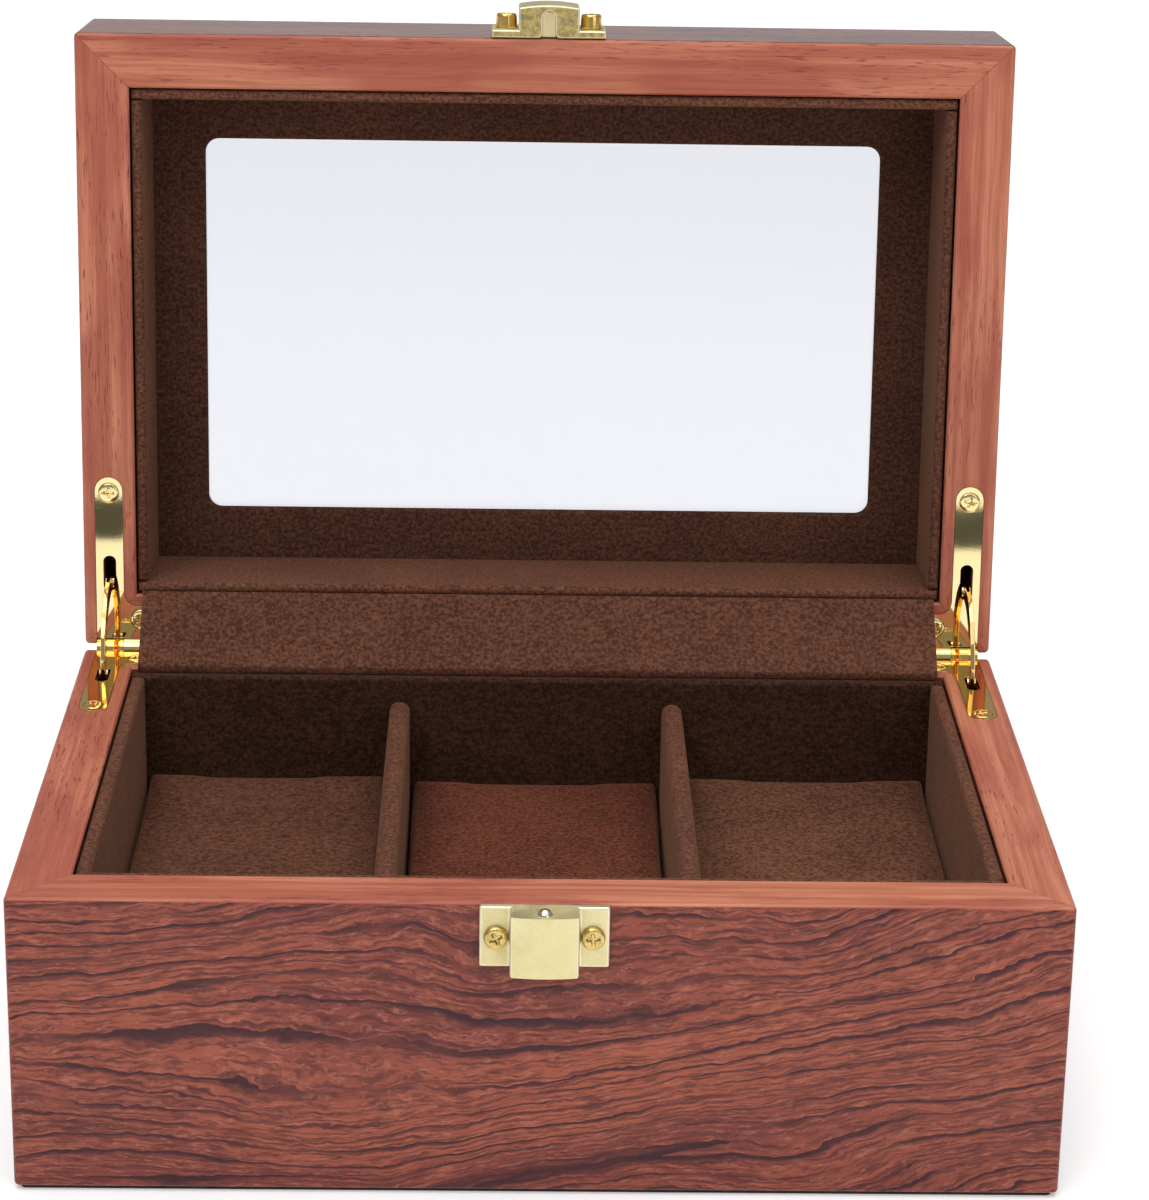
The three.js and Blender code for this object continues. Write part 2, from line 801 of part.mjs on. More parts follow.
function baseLinings() {
  const floorTop = FLOOR.liningTop;
  const x = INNER.x - FIT.loose;
  const y = INNER.y - FIT.loose;
  const floor = block([-x, -y, FLOOR.panelTop + FIT.loose], [x, y, floorTop]);
  place(base, "floor_lining", floor, FINISH.suede);
  const foot = floorTop + FIT.loose;
  wallLinings(base, "base", LINING.base, foot, BASE_RIM - LINING.baseDrop);
  SIDES.forEach(({ name }, i) => {
    const body = dividerBoard(DIVIDER_X[i], foot, BASE_RIM - DIVIDER.drop);
    place(base, `${name}_divider`, body, FINISH.suede);
  });
}

// A plain cushion that fills its compartment's plan, with rounded edges.
function cushions() {
  const foot = FLOOR.liningTop + FIT.loose;
  for (const { name, x0, x1 } of compartments()) {
    const width = x1 - x0 - 2 * FIT.soft;
    const depth = 2 * (NEST.y - FIT.soft);
    const geometry = new RoundedBoxGeometry(width, depth, CUSHION.height, 2, CUSHION.round);
    geometry.translate((x0 + x1) / 2, 0, foot + CUSHION.height / 2);
    place(base, `${name}_cushion`, solid(geometry), FINISH.cushion);
  }
}

// ---------------------------------------------------------------- lid

function lidWood() {
  const tools = [...hingeCuts("lid"), ...catchScrewHoles("lid")];
  boards(lid, "lid", LID_RIM, LID_TOP, LID_RIM, tools);
}

function glassOutline(grow = 0) {
  const width = OPENING.width + 2 * (GLASS.overlap + grow);
  const depth = OPENING.depth + 2 * (GLASS.overlap + grow);
  return centred(width, depth);
}

function lidTop() {
  const { frameBottom, glassBottom, liningTop, liningBottom } = LID_LAYERS;
  const x = INNER.x - FIT.glue;
  const y = INNER.y - FIT.glue;
  const opening = centred(OPENING.width, OPENING.depth, WINDOW.radius);
  const panel = block([-x, -y, frameBottom], [x, y, LID_TOP]);
  const hole = prism(opening, frameBottom - FIT.eps, LID_TOP + FIT.eps);
  const glassTop = glassBottom + GLASS.thickness;
  const rebate = prism(glassOutline(FIT.loose), frameBottom - FIT.eps, glassTop + FIT.metal);
  place(lid, "lid_top_frame", cut(panel, [hole, rebate]), FINISH.wood);
  place(lid, "glass_pane", prism(glassOutline(), glassBottom, glassTop), FINISH.glass);
  const cardX = INNER.x - FIT.loose;
  const cardY = INNER.y - FIT.loose;
  const card = block([-cardX, -cardY, liningBottom], [cardX, cardY, liningTop]);
  const window = prism(opening, liningBottom - FIT.eps, liningTop + FIT.eps);
  place(lid, "window_lining", card.subtract(window), FINISH.suede);
  const linersTop = liningBottom - FIT.loose;
  wallLinings(lid, "lid", LINING.lid, LID_RIM + LINING.lidDrop, linersTop);
}

// ---------------------------------------------------------------- gusset

// A point of the shut lid, in the Y-Z plane, after the lid is swung open.
function opened(y, z) {
  const turn = -rad(BOX.openAngle);
  const dy = y - AXIS.y;
  const dz = z - AXIS.z;
  return [
    AXIS.y + dy * Math.cos(turn) - dz * Math.sin(turn),
    AXIS.z + dy * Math.sin(turn) + dz * Math.cos(turn),
  ];
}

// A suede strip from behind the base's back lining to behind the lid's.
function gusset() {
  const edge = INNER.y - GUSSET.tuck - FIT.loose;
  const low = [edge, BASE_RIM + GUSSET.thickness / 2];
  const high = opened(edge, LID_RIM - GUSSET.thickness / 2);
  const along = new THREE.Vector2(high[0] - low[0], high[1] - low[1]);
  const width = 2 * (INNER.x - GUSSET.inset);
  const strip = new THREE.BoxGeometry(width, along.length(), GUSSET.thickness);
  strip.rotateX(Math.atan2(along.y, along.x));
  strip.translate(0, (low[0] + high[0]) / 2, (low[1] + high[1]) / 2);
  place(watchBox, "hinge_gusset", solid(strip), FINISH.suede);
}

// ---------------------------------------------------------------- build

baseWood();
baseLinings();
cushions();
lidWood();
lidTop();
hinges();
gusset();
ballCatch();

export default watchBox;
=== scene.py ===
"""The looks of a wooden watch box with a window in its lid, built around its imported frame.

Metres, +Z up. The lid's pieces are worked out with the lid shut and then swung open about the hinge pins.
"""

import json
import logging
import math
from collections.abc import Sequence
from dataclasses import dataclass, replace
from enum import Enum

import bmesh
import bpy
import numpy as np
from mathutils import Matrix, Vector

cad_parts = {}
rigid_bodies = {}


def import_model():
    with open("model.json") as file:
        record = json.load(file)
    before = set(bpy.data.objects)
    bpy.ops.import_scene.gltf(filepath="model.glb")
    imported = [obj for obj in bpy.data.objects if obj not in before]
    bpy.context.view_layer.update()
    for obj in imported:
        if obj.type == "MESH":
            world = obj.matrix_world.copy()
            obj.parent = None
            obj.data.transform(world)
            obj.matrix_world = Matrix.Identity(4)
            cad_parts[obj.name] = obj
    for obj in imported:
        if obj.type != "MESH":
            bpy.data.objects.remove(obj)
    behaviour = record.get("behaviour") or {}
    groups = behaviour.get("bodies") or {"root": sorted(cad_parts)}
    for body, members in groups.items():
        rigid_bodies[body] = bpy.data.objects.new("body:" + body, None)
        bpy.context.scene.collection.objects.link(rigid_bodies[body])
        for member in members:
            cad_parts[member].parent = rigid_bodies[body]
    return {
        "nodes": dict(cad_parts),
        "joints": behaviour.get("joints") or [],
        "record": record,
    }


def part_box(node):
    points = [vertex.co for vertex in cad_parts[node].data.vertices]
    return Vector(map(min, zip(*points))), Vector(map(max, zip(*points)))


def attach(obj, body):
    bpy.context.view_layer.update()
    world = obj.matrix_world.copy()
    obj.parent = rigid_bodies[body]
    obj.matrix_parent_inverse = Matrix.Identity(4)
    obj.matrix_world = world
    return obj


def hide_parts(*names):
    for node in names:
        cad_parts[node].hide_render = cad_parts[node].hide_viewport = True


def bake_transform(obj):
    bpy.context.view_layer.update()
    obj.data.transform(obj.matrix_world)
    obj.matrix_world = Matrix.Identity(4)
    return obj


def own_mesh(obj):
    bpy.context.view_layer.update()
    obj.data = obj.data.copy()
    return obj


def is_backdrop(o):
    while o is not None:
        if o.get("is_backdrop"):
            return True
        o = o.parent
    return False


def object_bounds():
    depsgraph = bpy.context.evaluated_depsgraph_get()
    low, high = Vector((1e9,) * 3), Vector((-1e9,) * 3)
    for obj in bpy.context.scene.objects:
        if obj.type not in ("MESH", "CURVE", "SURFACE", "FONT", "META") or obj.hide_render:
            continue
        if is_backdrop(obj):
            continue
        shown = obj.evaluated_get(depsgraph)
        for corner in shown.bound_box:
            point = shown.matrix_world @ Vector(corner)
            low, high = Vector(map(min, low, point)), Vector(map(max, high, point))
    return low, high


LOG = logging.getLogger("watch_box")
MM = 0.001
SEED = 11
# Points this close are one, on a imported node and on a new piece, and shorter edges than a sliver go.
WELD, MERGE, SLIVER = 2e-6, 1e-6, 1e-7
Colour = tuple[float, float, float]
Socket = bpy.types.NodeSocket
Value = Socket | float


def rgb(red: int, green: int, blue: int) -> Colour:
    """Turns an sRGB colour of 0 to 255 into linear light.

    Args:
        red: Red share.
        green: Green share.
        blue: Blue share.

    Returns:
        The colour in linear light, by the sRGB curve.
    """
    shares = np.array([red, green, blue]) / 255
    linear = np.where(shares <= 0.04045, shares / 12.92, ((shares + 0.055) / 1.055) ** 2.4)
    return tuple(float(share) for share in linear)


class Grain(Enum):
    """Which way a board's grain runs, as the axes that lie along it, across it and through it."""

    ALONG_WIDTH = ("X", "Z", "Y")
    ALONG_DEPTH = ("Y", "Z", "X")
    ALONG_TOP = ("X", "Y", "Z")


# ---------------------------------------------------------------- frame


def points_of(piece: bpy.types.Object) -> np.ndarray:
    """Reads a piece's points, or its evaluated copy's, as an array of points by 3."""
    flat = np.empty(len(piece.data.vertices) * 3, np.float32)
    piece.data.vertices.foreach_get("co", flat)
    return flat.reshape(-1, 3).astype(float)


class Frame:
    """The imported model: its nodes, its hinge line and the turn that opens the lid."""

    def __init__(self) -> None:
        """Loads the model in an empty scene and reads the hinge line from the pins."""
        for old in list(bpy.data.objects):
            bpy.data.objects.remove(old)
        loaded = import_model()
        self.nodes: dict[str, bpy.types.Object] = loaded["nodes"]
        self.bodies: dict[str, list[str]] = loaded["record"]["behaviour"]["bodies"]
        self.cad_bounds = [list(corner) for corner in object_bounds()]
        low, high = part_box("left_hinge_pin")
        self.hinge = np.array([0.0, (low.y + high.y) / 2, (low.z + high.z) / 2])
        joints = {joint["name"]: joint for joint in loaded["joints"]}
        self.open_angle = math.radians(joints["lid_hinge"]["range_deg"][1])
        self.ball_travel = joints["ball_press"]["range_m"][1]

    def body_of(self, node: str) -> str:
        """Returns the body that a node belongs to."""
        return next(body for body, members in self.bodies.items() if node in members)

    def turned(self, points: np.ndarray, angle: float) -> np.ndarray:
        """Turns points about the hinge line, which runs along +X."""
        turn = np.array(Matrix.Rotation(angle, 3, "X"))
        return (points - self.hinge) @ turn.T + self.hinge

    def opened(self, points: np.ndarray) -> np.ndarray:
        """Takes points of the shut lid to where they are with the lid open."""
        return self.turned(points, -self.open_angle)

    def drawn_box(self, node: str) -> tuple[np.ndarray, np.ndarray]:
        """Finds a node's box as it is drawn, which for the lid's nodes is with the lid shut.

        Args:
            node: The node's name.

        Returns:
            The lowest and the highest corner.
        """
        points = points_of(self.nodes[node])
        if self.body_of(node) == "lid":
            points = self.turned(points, self.open_angle)
        return points.min(0), points.max(0)


# ---------------------------------------------------------------- meshes


def new_piece(name: str, points: np.ndarray, faces: Sequence[Sequence[int]]) -> bpy.types.Object:
    """Makes a piece from points and faces, smooth shaded, with its normals outwards.

    Args:
        name: The piece's name.
        points: An array of points by 3.
        faces: Each face's points.

    Returns:
        The piece.
    """
    mesh = bpy.data.meshes.new(name)
    mesh.from_pydata(points.tolist(), [], faces)
    piece = bpy.data.objects.new(name, mesh)
    bpy.context.scene.collection.objects.link(piece)
    clean(piece)
    return piece


def ring_mesh(name: str, rings: np.ndarray, closed_rows: bool = False) -> bpy.types.Object:
    """Makes a closed surface from rings of points: each joins the next, and flat faces close both ends.

    Args:
        name: The piece's name.
        rings: An array of rows by columns by 3, in which each row is one closed ring.
        closed_rows: Whether the last ring joins the first, as on a frame, in place of end faces.

    Returns:
        The piece, smooth shaded, with its normals outwards.
    """
    rows, columns = rings.shape[:2]
    row = np.arange(rows if closed_rows else rows - 1)[:, None]
    column = np.arange(columns)[None, :]
    below, above = row * columns, (row + 1) % rows * columns
    after = (column + 1) % columns
    quads = np.stack([below + column, below + after, above + after, above + column], -1)
    faces = quads.reshape(-1, 4).tolist()
    if not closed_rows:
        first = np.arange(columns)
        faces += [first[::-1].tolist(), (first + (rows - 1) * columns).tolist()]
    return new_piece(name, rings.reshape(-1, 3), faces)


def block_mesh(name: str, half: np.ndarray, radius: float, step: float) -> bpy.types.Object:
    """Makes a block about the origin with every edge and corner round, as an even net over its six faces.

    Each face's net runs past the flat part by the tangents of angles up to 45 degrees. Its points are then
    drawn in to the radius from the block's core.

    Args:
        name: The piece's name.
        half: Half of the block's size along each axis.
        radius: Radius of the edges.
        step: The net's spacing on the flat part.

    Returns:
        The piece.
    """
    core = half - radius
    bend = radius * np.tan(np.linspace(0, math.pi / 4, 4)[1:])
    marks = []
    for reach in core:
        flat = np.linspace(-reach, reach, max(2, round(2 * reach / step) + 1))
        marks.append(np.concatenate([-reach - bend[::-1], flat, reach + bend]))
    nets, faces, count = [], [], 0
    for axis in range(3):
        first, second = (other for other in range(3) if other != axis)
        for side in (-1, 1):
            net = np.empty((len(marks[first]), len(marks[second]), 3))
            net[..., axis] = side * half[axis]
            net[..., first], net[..., second] = marks[first][:, None], marks[second][None, :]
            rows, columns = net.shape[:2]
            corner = np.arange(rows - 1)[:, None] * columns + np.arange(columns - 1) + count
            quads = np.stack([corner, corner + 1, corner + columns + 1, corner + columns], -1)
            faces += quads.reshape(-1, 4).tolist()
            nets.append(net.reshape(-1, 3))
            count += len(nets[-1])
    points = np.concatenate(nets)
    inner = np.clip(points, -core, core)
    out = points - inner
    points = inner + radius * out / np.linalg.norm(out, axis=1, keepdims=True)
    return new_piece(name, points, faces)


def clean(piece: bpy.types.Object, sharp: float = math.radians(48)) -> None:
    """Merges doubles, turns the faces outwards and shades them smooth, with edges sharp past an angle.

    Args:
        piece: The piece to clean.
        sharp: The angle in radians past which an edge stays sharp.
    """
    body = bmesh.new()
    body.from_mesh(piece.data)
    bmesh.ops.remove_doubles(body, verts=body.verts, dist=MERGE)
    bmesh.ops.dissolve_degenerate(body, edges=body.edges, dist=SLIVER)
    bmesh.ops.recalc_face_normals(body, faces=body.faces)
    for face in body.faces:
        face.smooth = True
    for edge in body.edges:
        edge.smooth = len(edge.link_faces) == 2 and edge.calc_face_angle(0) < sharp
    body.to_mesh(piece.data)
    body.free()
    weights = piece.modifiers.new("even_shading", "WEIGHTED_NORMAL")
    weights.keep_sharp = True
    weights.weight = 100


def machined(
    name: str, node: bpy.types.Object, bevel: float, steps: int = 2, shortest: float = 0.0
) -> bpy.types.Object:
    """Copies a node's mesh, joins its flat faces and rounds its sharp edges.

    The attribute "worn" is 1 on rounded edges, 0 elsewhere: wear on wood, a painted highlight on metal.

    Args:
        name: The new piece's name.
        node: The node to copy.
        bevel: Width of the rounding.
        steps: Faces across each rounded edge.
        shortest: Edges shorter than this, such as those round a hole, stay as they are.

    Returns:
        The new piece.
    """
    body = bmesh.new()
    body.from_mesh(node.data)
    bmesh.ops.remove_doubles(body, verts=body.verts, dist=WELD)
    flat, turned = math.radians(0.6), math.radians(38)
    bmesh.ops.dissolve_limit(
        body, angle_limit=flat, verts=body.verts, edges=body.edges, delimit={"NORMAL"}
    )
    edge_wear_and_highlight = body.faces.layers.float.new("edge_wear_and_highlight")
    corners = [
        edge for edge in body.edges
        if len(edge.link_faces) == 2 and edge.calc_face_angle(0) > turned and edge.calc_length() > shortest
    ]
    made = bmesh.ops.bevel(
        body, geom=corners, offset=bevel, offset_type="OFFSET", segments=steps, profile=0.5, affect="EDGES",
        clamp_overlap=shortest == 0, material=-1, miter_outer="SHARP",
    )
    for face in made["faces"]:
        face[edge_wear_and_highlight] = 1.0
    mesh = bpy.data.meshes.new(name)
    body.to_mesh(mesh)
    body.free()
    piece = bpy.data.objects.new(name, mesh)
    bpy.context.scene.collection.objects.link(piece)
    clean(piece)
    return piece


def rounded_outline(
    half_x: np.ndarray, half_y: np.ndarray, radius: np.ndarray, steps: int = 5
) -> np.ndarray:
    """Works out rounded rectangles about the origin: a quarter circle round each of four corner centres.

    Args:
        half_x: Half of each rectangle's width.
        half_y: Half of each rectangle's depth.
        radius: Each rectangle's corner radius.
        steps: Steps round each corner.

    Returns:
        An array of rectangles by points by 2.
    """
    quarter = np.linspace(0, math.pi / 2, steps + 1)
    angle = np.concatenate([quarter + turn * math.pi / 2 for turn in range(4)])
    sign_x = np.repeat([1, -1, -1, 1], steps + 1)
    sign_y = np.repeat([1, 1, -1, -1], steps + 1)
    half_x, half_y, radius = (np.atleast_1d(value)[:, None] for value in (half_x, half_y, radius))
    x = sign_x * (half_x - radius) + radius * np.cos(angle)
    y = sign_y * (half_y - radius) + radius * np.sin(angle)
    return np.stack([x, y], -1)


def slab(low: np.ndarray, high: np.ndarray, rounding: float, corner: float, steps: int = 4) -> np.ndarray:
    """Works out a block with round edges: its plan, drawn in along a quarter circle at top and bottom.

    Args:
        low: Lowest corner.
        high: Highest corner.
        rounding: Radius of the top and bottom edges.
        corner: Radius of the upright edges, which shrinks with the plan and stays above nothing.
        steps: Steps round each edge.

    Returns:
        The rings, from the bottom up.
    """
    angle = np.linspace(0, math.pi / 2, steps + 1)
    short, tall = rounding * (1 - np.sin(angle)), rounding * (1 - np.cos(angle))
    inset = np.concatenate([short, tall])
    height = np.concatenate([low[2] + tall, high[2] - short])
    middle, half = (low + high) / 2, (high - low) / 2
    tightest = 0.01 * MM
    plan = rounded_outline(half[0] - inset, half[1] - inset, np.maximum(corner - inset, tightest), steps)
    rings = np.empty((len(height), plan.shape[1], 3))
    rings[..., :2] = plan + middle[:2]
    rings[..., 2] = height[:, None]
    return rings


# ---------------------------------------------------------------- node trees


class Graph:
    """A short way to write a tree of shader nodes."""

    def __init__(self, tree: bpy.types.NodeTree) -> None:
        """Keeps the tree that nodes are added to."""
        self.tree = tree

    def add(
        self, kind: str, inputs: dict[str | int, Value | Sequence[float]] | None = None, **settings: object
    ) -> bpy.types.Node:
        """Adds a node.

        Args:
            kind: The node's type.
            inputs: What goes to each input, as a socket to link or a value to set.
            settings: The node's own settings.

        Returns:
            The node.
        """
        node = self.tree.nodes.new(kind)
        for name, value in settings.items():
            setattr(node, name, value)
        for name, value in (inputs or {}).items():
            self.feed(node.inputs[name], value)
        return node

    def feed(self, socket: Socket, value: Value | Sequence[float]) -> None:
        """Links a socket to another, or sets its value."""
        if isinstance(value, Socket):
            self.tree.links.new(value, socket)
        else:
            socket.default_value = value

    def math(self, operation: str, *values: Value) -> Socket:
        """Adds a Math node and returns its result."""
        return self.add("ShaderNodeMath", dict(enumerate(values)), operation=operation).outputs[0]

    def group(
        self, tree: bpy.types.NodeTree, inputs: dict[str, Value | Sequence[float]]
    ) -> bpy.types.bpy_prop_collection:
        """Adds a shared group with its own inputs and returns its outputs."""
        return self.add("ShaderNodeGroup", inputs, node_tree=tree).outputs

    def edge_wear_and_highlight(self) -> Socket:
        """Returns the rounded-edge mask of a machined piece: wear on wood, a painted highlight on metal."""
        return self.add("ShaderNodeAttribute", attribute_name="edge_wear_and_highlight").outputs["Fac"]

    def remap(
        self, value: Value, low: float, high: float, to_low: float = 0.0, to_high: float = 1.0
    ) -> Socket:
        """Takes the range low to high smoothly to another range and returns the result."""
        limits = {"Value": value, "From Min": low, "From Max": high, "To Min": to_low, "To Max": to_high}
        return self.add("ShaderNodeMapRange", limits, interpolation_type="SMOOTHSTEP").outputs[0]

    def noise(
        self, vector: Socket, scale: Sequence[float], detail: float = 2.0, rough: float = 0.5
    ) -> Socket:
        """Adds noise with its own scale, in waves per metre, along each axis, and returns its value."""
        stretched = self.add("ShaderNodeVectorMath", {0: vector, 1: tuple(scale)}, operation="MULTIPLY")
        inputs = {"Vector": stretched.outputs[0], "Scale": 1.0, "Detail": detail, "Roughness": rough}
        return self.add("ShaderNodeTexNoise", inputs).outputs["Fac"]

    def mix(self, share: Value, first: Socket | Colour, second: Socket | Colour) -> Socket:
        """Mixes two colours and returns the result."""
        node = self.add("ShaderNodeMix", data_type="RGBA")
        for index, value in ((0, share), (6, first), (7, second)):
            padded = (*value, 1.0) if isinstance(value, tuple) else value
            self.feed(node.inputs[index], padded)
        return node.outputs[2]


def new_group(
    name: str, inputs: dict[str, str], outputs: dict[str, str]
) -> tuple[Graph, bpy.types.Node, bpy.types.Node]:
    """Starts a shader node group.

    Args:
        name: The group's name.
        inputs: Each input's name and socket type.
        outputs: Each output's name and socket type.

    Returns:
        The group's graph, its input node and its output node.
    """
    tree = bpy.data.node_groups.new(name, "ShaderNodeTree")
    for side, sockets in (("INPUT", inputs), ("OUTPUT", outputs)):
        for label, kind in sockets.items():
            tree.interface.new_socket(label, in_out=side, socket_type=kind)
    graph = Graph(tree)
    return graph, graph.add("NodeGroupInput"), graph.add("NodeGroupOutput")


FLOAT, VECTOR, COLOUR = "NodeSocketFloat", "NodeSocketVector", "NodeSocketColor"


class Effects:
    """The effects that several finishes share, each a node group that is built once."""

    # How far slow, quick and jagged noise bends the veneer's growth lines, and how close the lines lie.
    WANDER, QUIVER, JAG = 0.034, 0.0046, 0.0013
    LINES_PER_METRE, FINE_LINES_PER_METRE = 240.0, 760.0
    LINE_SPREAD, FINE_LINE_SPREAD = 5.0, 9.0
    RED_GROUND, BROWN_GROUND = rgb(156, 80, 58), rgb(120, 55, 48)
    DARK_FIBRE, PALE_FLECK = rgb(90, 38, 34), rgb(178, 106, 84)
    FINE_LINE, GROWTH_LINE, STREAK = rgb(70, 26, 32), rgb(52, 18, 28), rgb(48, 20, 30)
    PORE = rgb(58, 26, 26)

    # How far noise bends the rims' straight grain, and the rims' colours.
    WAVER = 0.0035
    PALE_BAND, DEEP_BAND, CLOUD = rgb(200, 127, 97), rgb(173, 98, 74), rgb(158, 76, 62)
    RIM_FIBRE, RIM_DASH = rgb(138, 66, 52), rgb(104, 42, 36)

    STRAY_FIBRE = rgb(168, 132, 112)

    def __init__(self) -> None:
        """Builds the groups."""
        self.figure = self.make_figure()
        self.rim = self.make_rim()
        self.nap = self.make_nap()
        self.handling = self.make_handling()

    @classmethod
    def make_figure(cls) -> bpy.types.NodeTree:
        """Builds a figured veneer: growth lines that rise and wander, dark streaks, fibres and pores.

        The distance across the grain is bent by noise, and each tooth of its sawtooth darkens up to a growth
        line. Noise drawn out along the grain gives the streaks, fibres and pores.

        Returns:
            The group.
        """
        graph, given, made = new_group(
            "veneer_figure",
            {"Vector": VECTOR, "Rise": FLOAT},
            {"Color": COLOUR, "Height": FLOAT, "Pores": FLOAT},
        )
        vector = given.outputs["Vector"]
        parts = graph.add("ShaderNodeSeparateXYZ", {0: vector}).outputs
        slow = graph.noise(vector, (13, 17, 17), 1.5, 0.45)
        quick = graph.noise(vector, (60, 110, 110), 3, 0.6)
        jagged = graph.noise(vector, (210, 420, 420), 2, 0.6)
        bend = parts[1]
        for noise, reach in ((slow, cls.WANDER), (quick, cls.QUIVER), (jagged, cls.JAG)):
            bend = graph.math("MULTIPLY_ADD", graph.math("SUBTRACT", noise, 0.5), reach, bend)
        across = graph.math("SUBTRACT", bend, graph.math("MULTIPLY", parts[0], given.outputs["Rise"]))
        grain = graph.add("ShaderNodeCombineXYZ", {0: parts[0], 1: across, 2: parts[2]}).outputs[0]
        spread = graph.noise(grain, (5, 55, 5), 2)
        uneven = graph.math("MULTIPLY", spread, cls.LINE_SPREAD)
        phase = graph.math("MULTIPLY_ADD", across, cls.LINES_PER_METRE, uneven)
        line = graph.remap(graph.math("FRACT", phase), 0.68, 0.95)
        strength = graph.remap(graph.noise(grain, (22, 190, 22), 2.5, 0.6), 0.33, 0.56, 0.25, 1.0)
        line = graph.math("MULTIPLY", line, strength)
        uneven = graph.math("MULTIPLY", spread, cls.FINE_LINE_SPREAD)
        phase = graph.math("MULTIPLY_ADD", across, cls.FINE_LINES_PER_METRE, uneven)
        fine = graph.remap(graph.math("FRACT", phase), 0.50, 0.95)
        fine = graph.math("MULTIPLY", fine, graph.remap(graph.noise(grain, (34, 260, 34), 2), 0.40, 0.62))
        streak = graph.remap(graph.noise(grain, (8, 165, 8), 2.5, 0.55), 0.61, 0.70)
        broken = graph.remap(graph.noise(grain, (260, 1500, 260), 3, 0.7), 0.40, 0.62, 0.15, 1.0)
        streak = graph.math("MULTIPLY", streak, broken)
        fibre = graph.noise(grain, (150, 1300, 1300), 3, 0.7)
        mottle = graph.noise(grain, (340, 1500, 1500), 3, 0.75)
        tone = graph.remap(graph.noise(grain, (9, 42, 9), 3, 0.6), 0.32, 0.68)
        body = graph.mix(tone, cls.RED_GROUND, cls.BROWN_GROUND)
        body = graph.mix(graph.remap(fibre, 0.42, 0.62, 0.0, 0.80), body, cls.DARK_FIBRE)
        body = graph.mix(graph.remap(mottle, 0.50, 0.66, 0.0, 0.58), body, cls.PALE_FLECK)
        pores = graph.remap(graph.noise(grain, (330, 2600, 2600), 2, 0.5), 0.66, 0.74)
        for mask, most, colour in (
            (fine, 0.72, cls.FINE_LINE), (line, 0.95, cls.GROWTH_LINE),
            (streak, 0.85, cls.STREAK), (pores, 0.55, cls.PORE),
        ):
            body = graph.mix(graph.math("MULTIPLY", mask, most), body, colour)
        sunk = graph.math("ADD", pores, graph.math("MULTIPLY", line, 0.4))
        graph.feed(made.inputs["Color"], body)
        graph.feed(made.inputs["Height"], graph.math("SUBTRACT", graph.math("MULTIPLY", fibre, 0.35), sunk))
        graph.feed(made.inputs["Pores"], pores)
        return graph.tree

    @classmethod
    def make_rim(cls) -> bpy.types.NodeTree:
        """Builds straight-grained wood for cut edges: soft bands, fibres and short dark dashes of pores.

        Returns:
            The group.
        """
        graph, given, made = new_group(
            "straight_grain",
            {"Vector": VECTOR, "Dashes": FLOAT},
            {"Color": COLOUR, "Height": FLOAT, "Pores": FLOAT},
        )
        vector = given.outputs["Vector"]
        waver = graph.math("SUBTRACT", graph.noise(vector, (22, 60, 60), 2), 0.5)
        shift = graph.add("ShaderNodeCombineXYZ", {1: graph.math("MULTIPLY", waver, cls.WAVER)}).outputs[0]
        grain = graph.add("ShaderNodeVectorMath", {0: vector, 1: shift}, operation="ADD").outputs[0]
        band = graph.noise(grain, (9, 330, 330), 2.5, 0.6)
        fibre = graph.noise(grain, (70, 2100, 2100), 3, 0.6)
        cloud = graph.noise(grain, (26, 60, 60), 2)
        body = graph.mix(graph.remap(band, 0.36, 0.64), cls.PALE_BAND, cls.DEEP_BAND)
        body = graph.mix(graph.remap(cloud, 0.42, 0.62, 0.0, 0.62), body, cls.CLOUD)
        body = graph.mix(graph.remap(fibre, 0.40, 0.72, 0.0, 0.40), body, cls.RIM_FIBRE)
        dash = graph.remap(graph.noise(grain, (230, 1900, 1900), 1.5, 0.5), 0.60, 0.69)
        patch = graph.remap(graph.noise(vector, (24, 60, 60), 1), 0.36, 0.60)
        dash = graph.math("MULTIPLY", dash, graph.math("MULTIPLY", patch, given.outputs["Dashes"]))
        body = graph.mix(graph.math("MULTIPLY", dash, 0.60), body, cls.RIM_DASH)
        graph.feed(made.inputs["Color"], body)
        graph.feed(made.inputs["Height"], graph.math("SUBTRACT", graph.math("MULTIPLY", fibre, 0.4), dash))
        graph.feed(made.inputs["Pores"], dash)
        return graph.tree

    @classmethod
    def make_nap(cls) -> bpy.types.NodeTree:
        """Builds a brushed nap: fine tufts, patches where it leans another way, and a few pale fibres.

        Returns:
            The group.
        """
        graph, given, made = new_group(
            "brushed_nap",
            {"Vector": VECTOR, "Dark": COLOUR, "Light": COLOUR, "Patches": FLOAT, "Coarse": FLOAT},
            {"Color": COLOUR, "Height": FLOAT},
        )
        vector = given.outputs["Vector"]
        tuft = graph.noise(vector, (1250, 1250, 1250), 3, 0.7)
        grit = graph.noise(vector, (560, 900, 900), 3, 0.6)
        patch = graph.remap(graph.noise(vector, (42, 42, 42), 3, 0.6), 0.34, 0.68, -0.5, 0.5)
        lean = graph.math("MULTIPLY", patch, given.outputs["Patches"])
        share = graph.math("ADD", graph.remap(tuft, 0.36, 0.64, 0.0, 0.80), lean)
        relief = graph.remap(grit, 0.36, 0.64, -0.18, 0.22)
        share = graph.math("MULTIPLY_ADD", relief, given.outputs["Coarse"], share)
        clamped = graph.math("MINIMUM", graph.math("MAXIMUM", share, 0.0), 1.0)
        body = graph.mix(clamped, given.outputs["Dark"], given.outputs["Light"])
        stray = graph.remap(graph.noise(vector, (700, 2300, 1500), 2), 0.735, 0.78, 0.0, 0.5)
        body = graph.mix(stray, body, cls.STRAY_FIBRE)
        graph.feed(made.inputs["Color"], body)
        rise = graph.math("MULTIPLY", graph.math("MULTIPLY", grit, 1.6), given.outputs["Coarse"])
        graph.feed(made.inputs["Height"], graph.math("MULTIPLY_ADD", tuft, 0.6, rise))
        return graph.tree

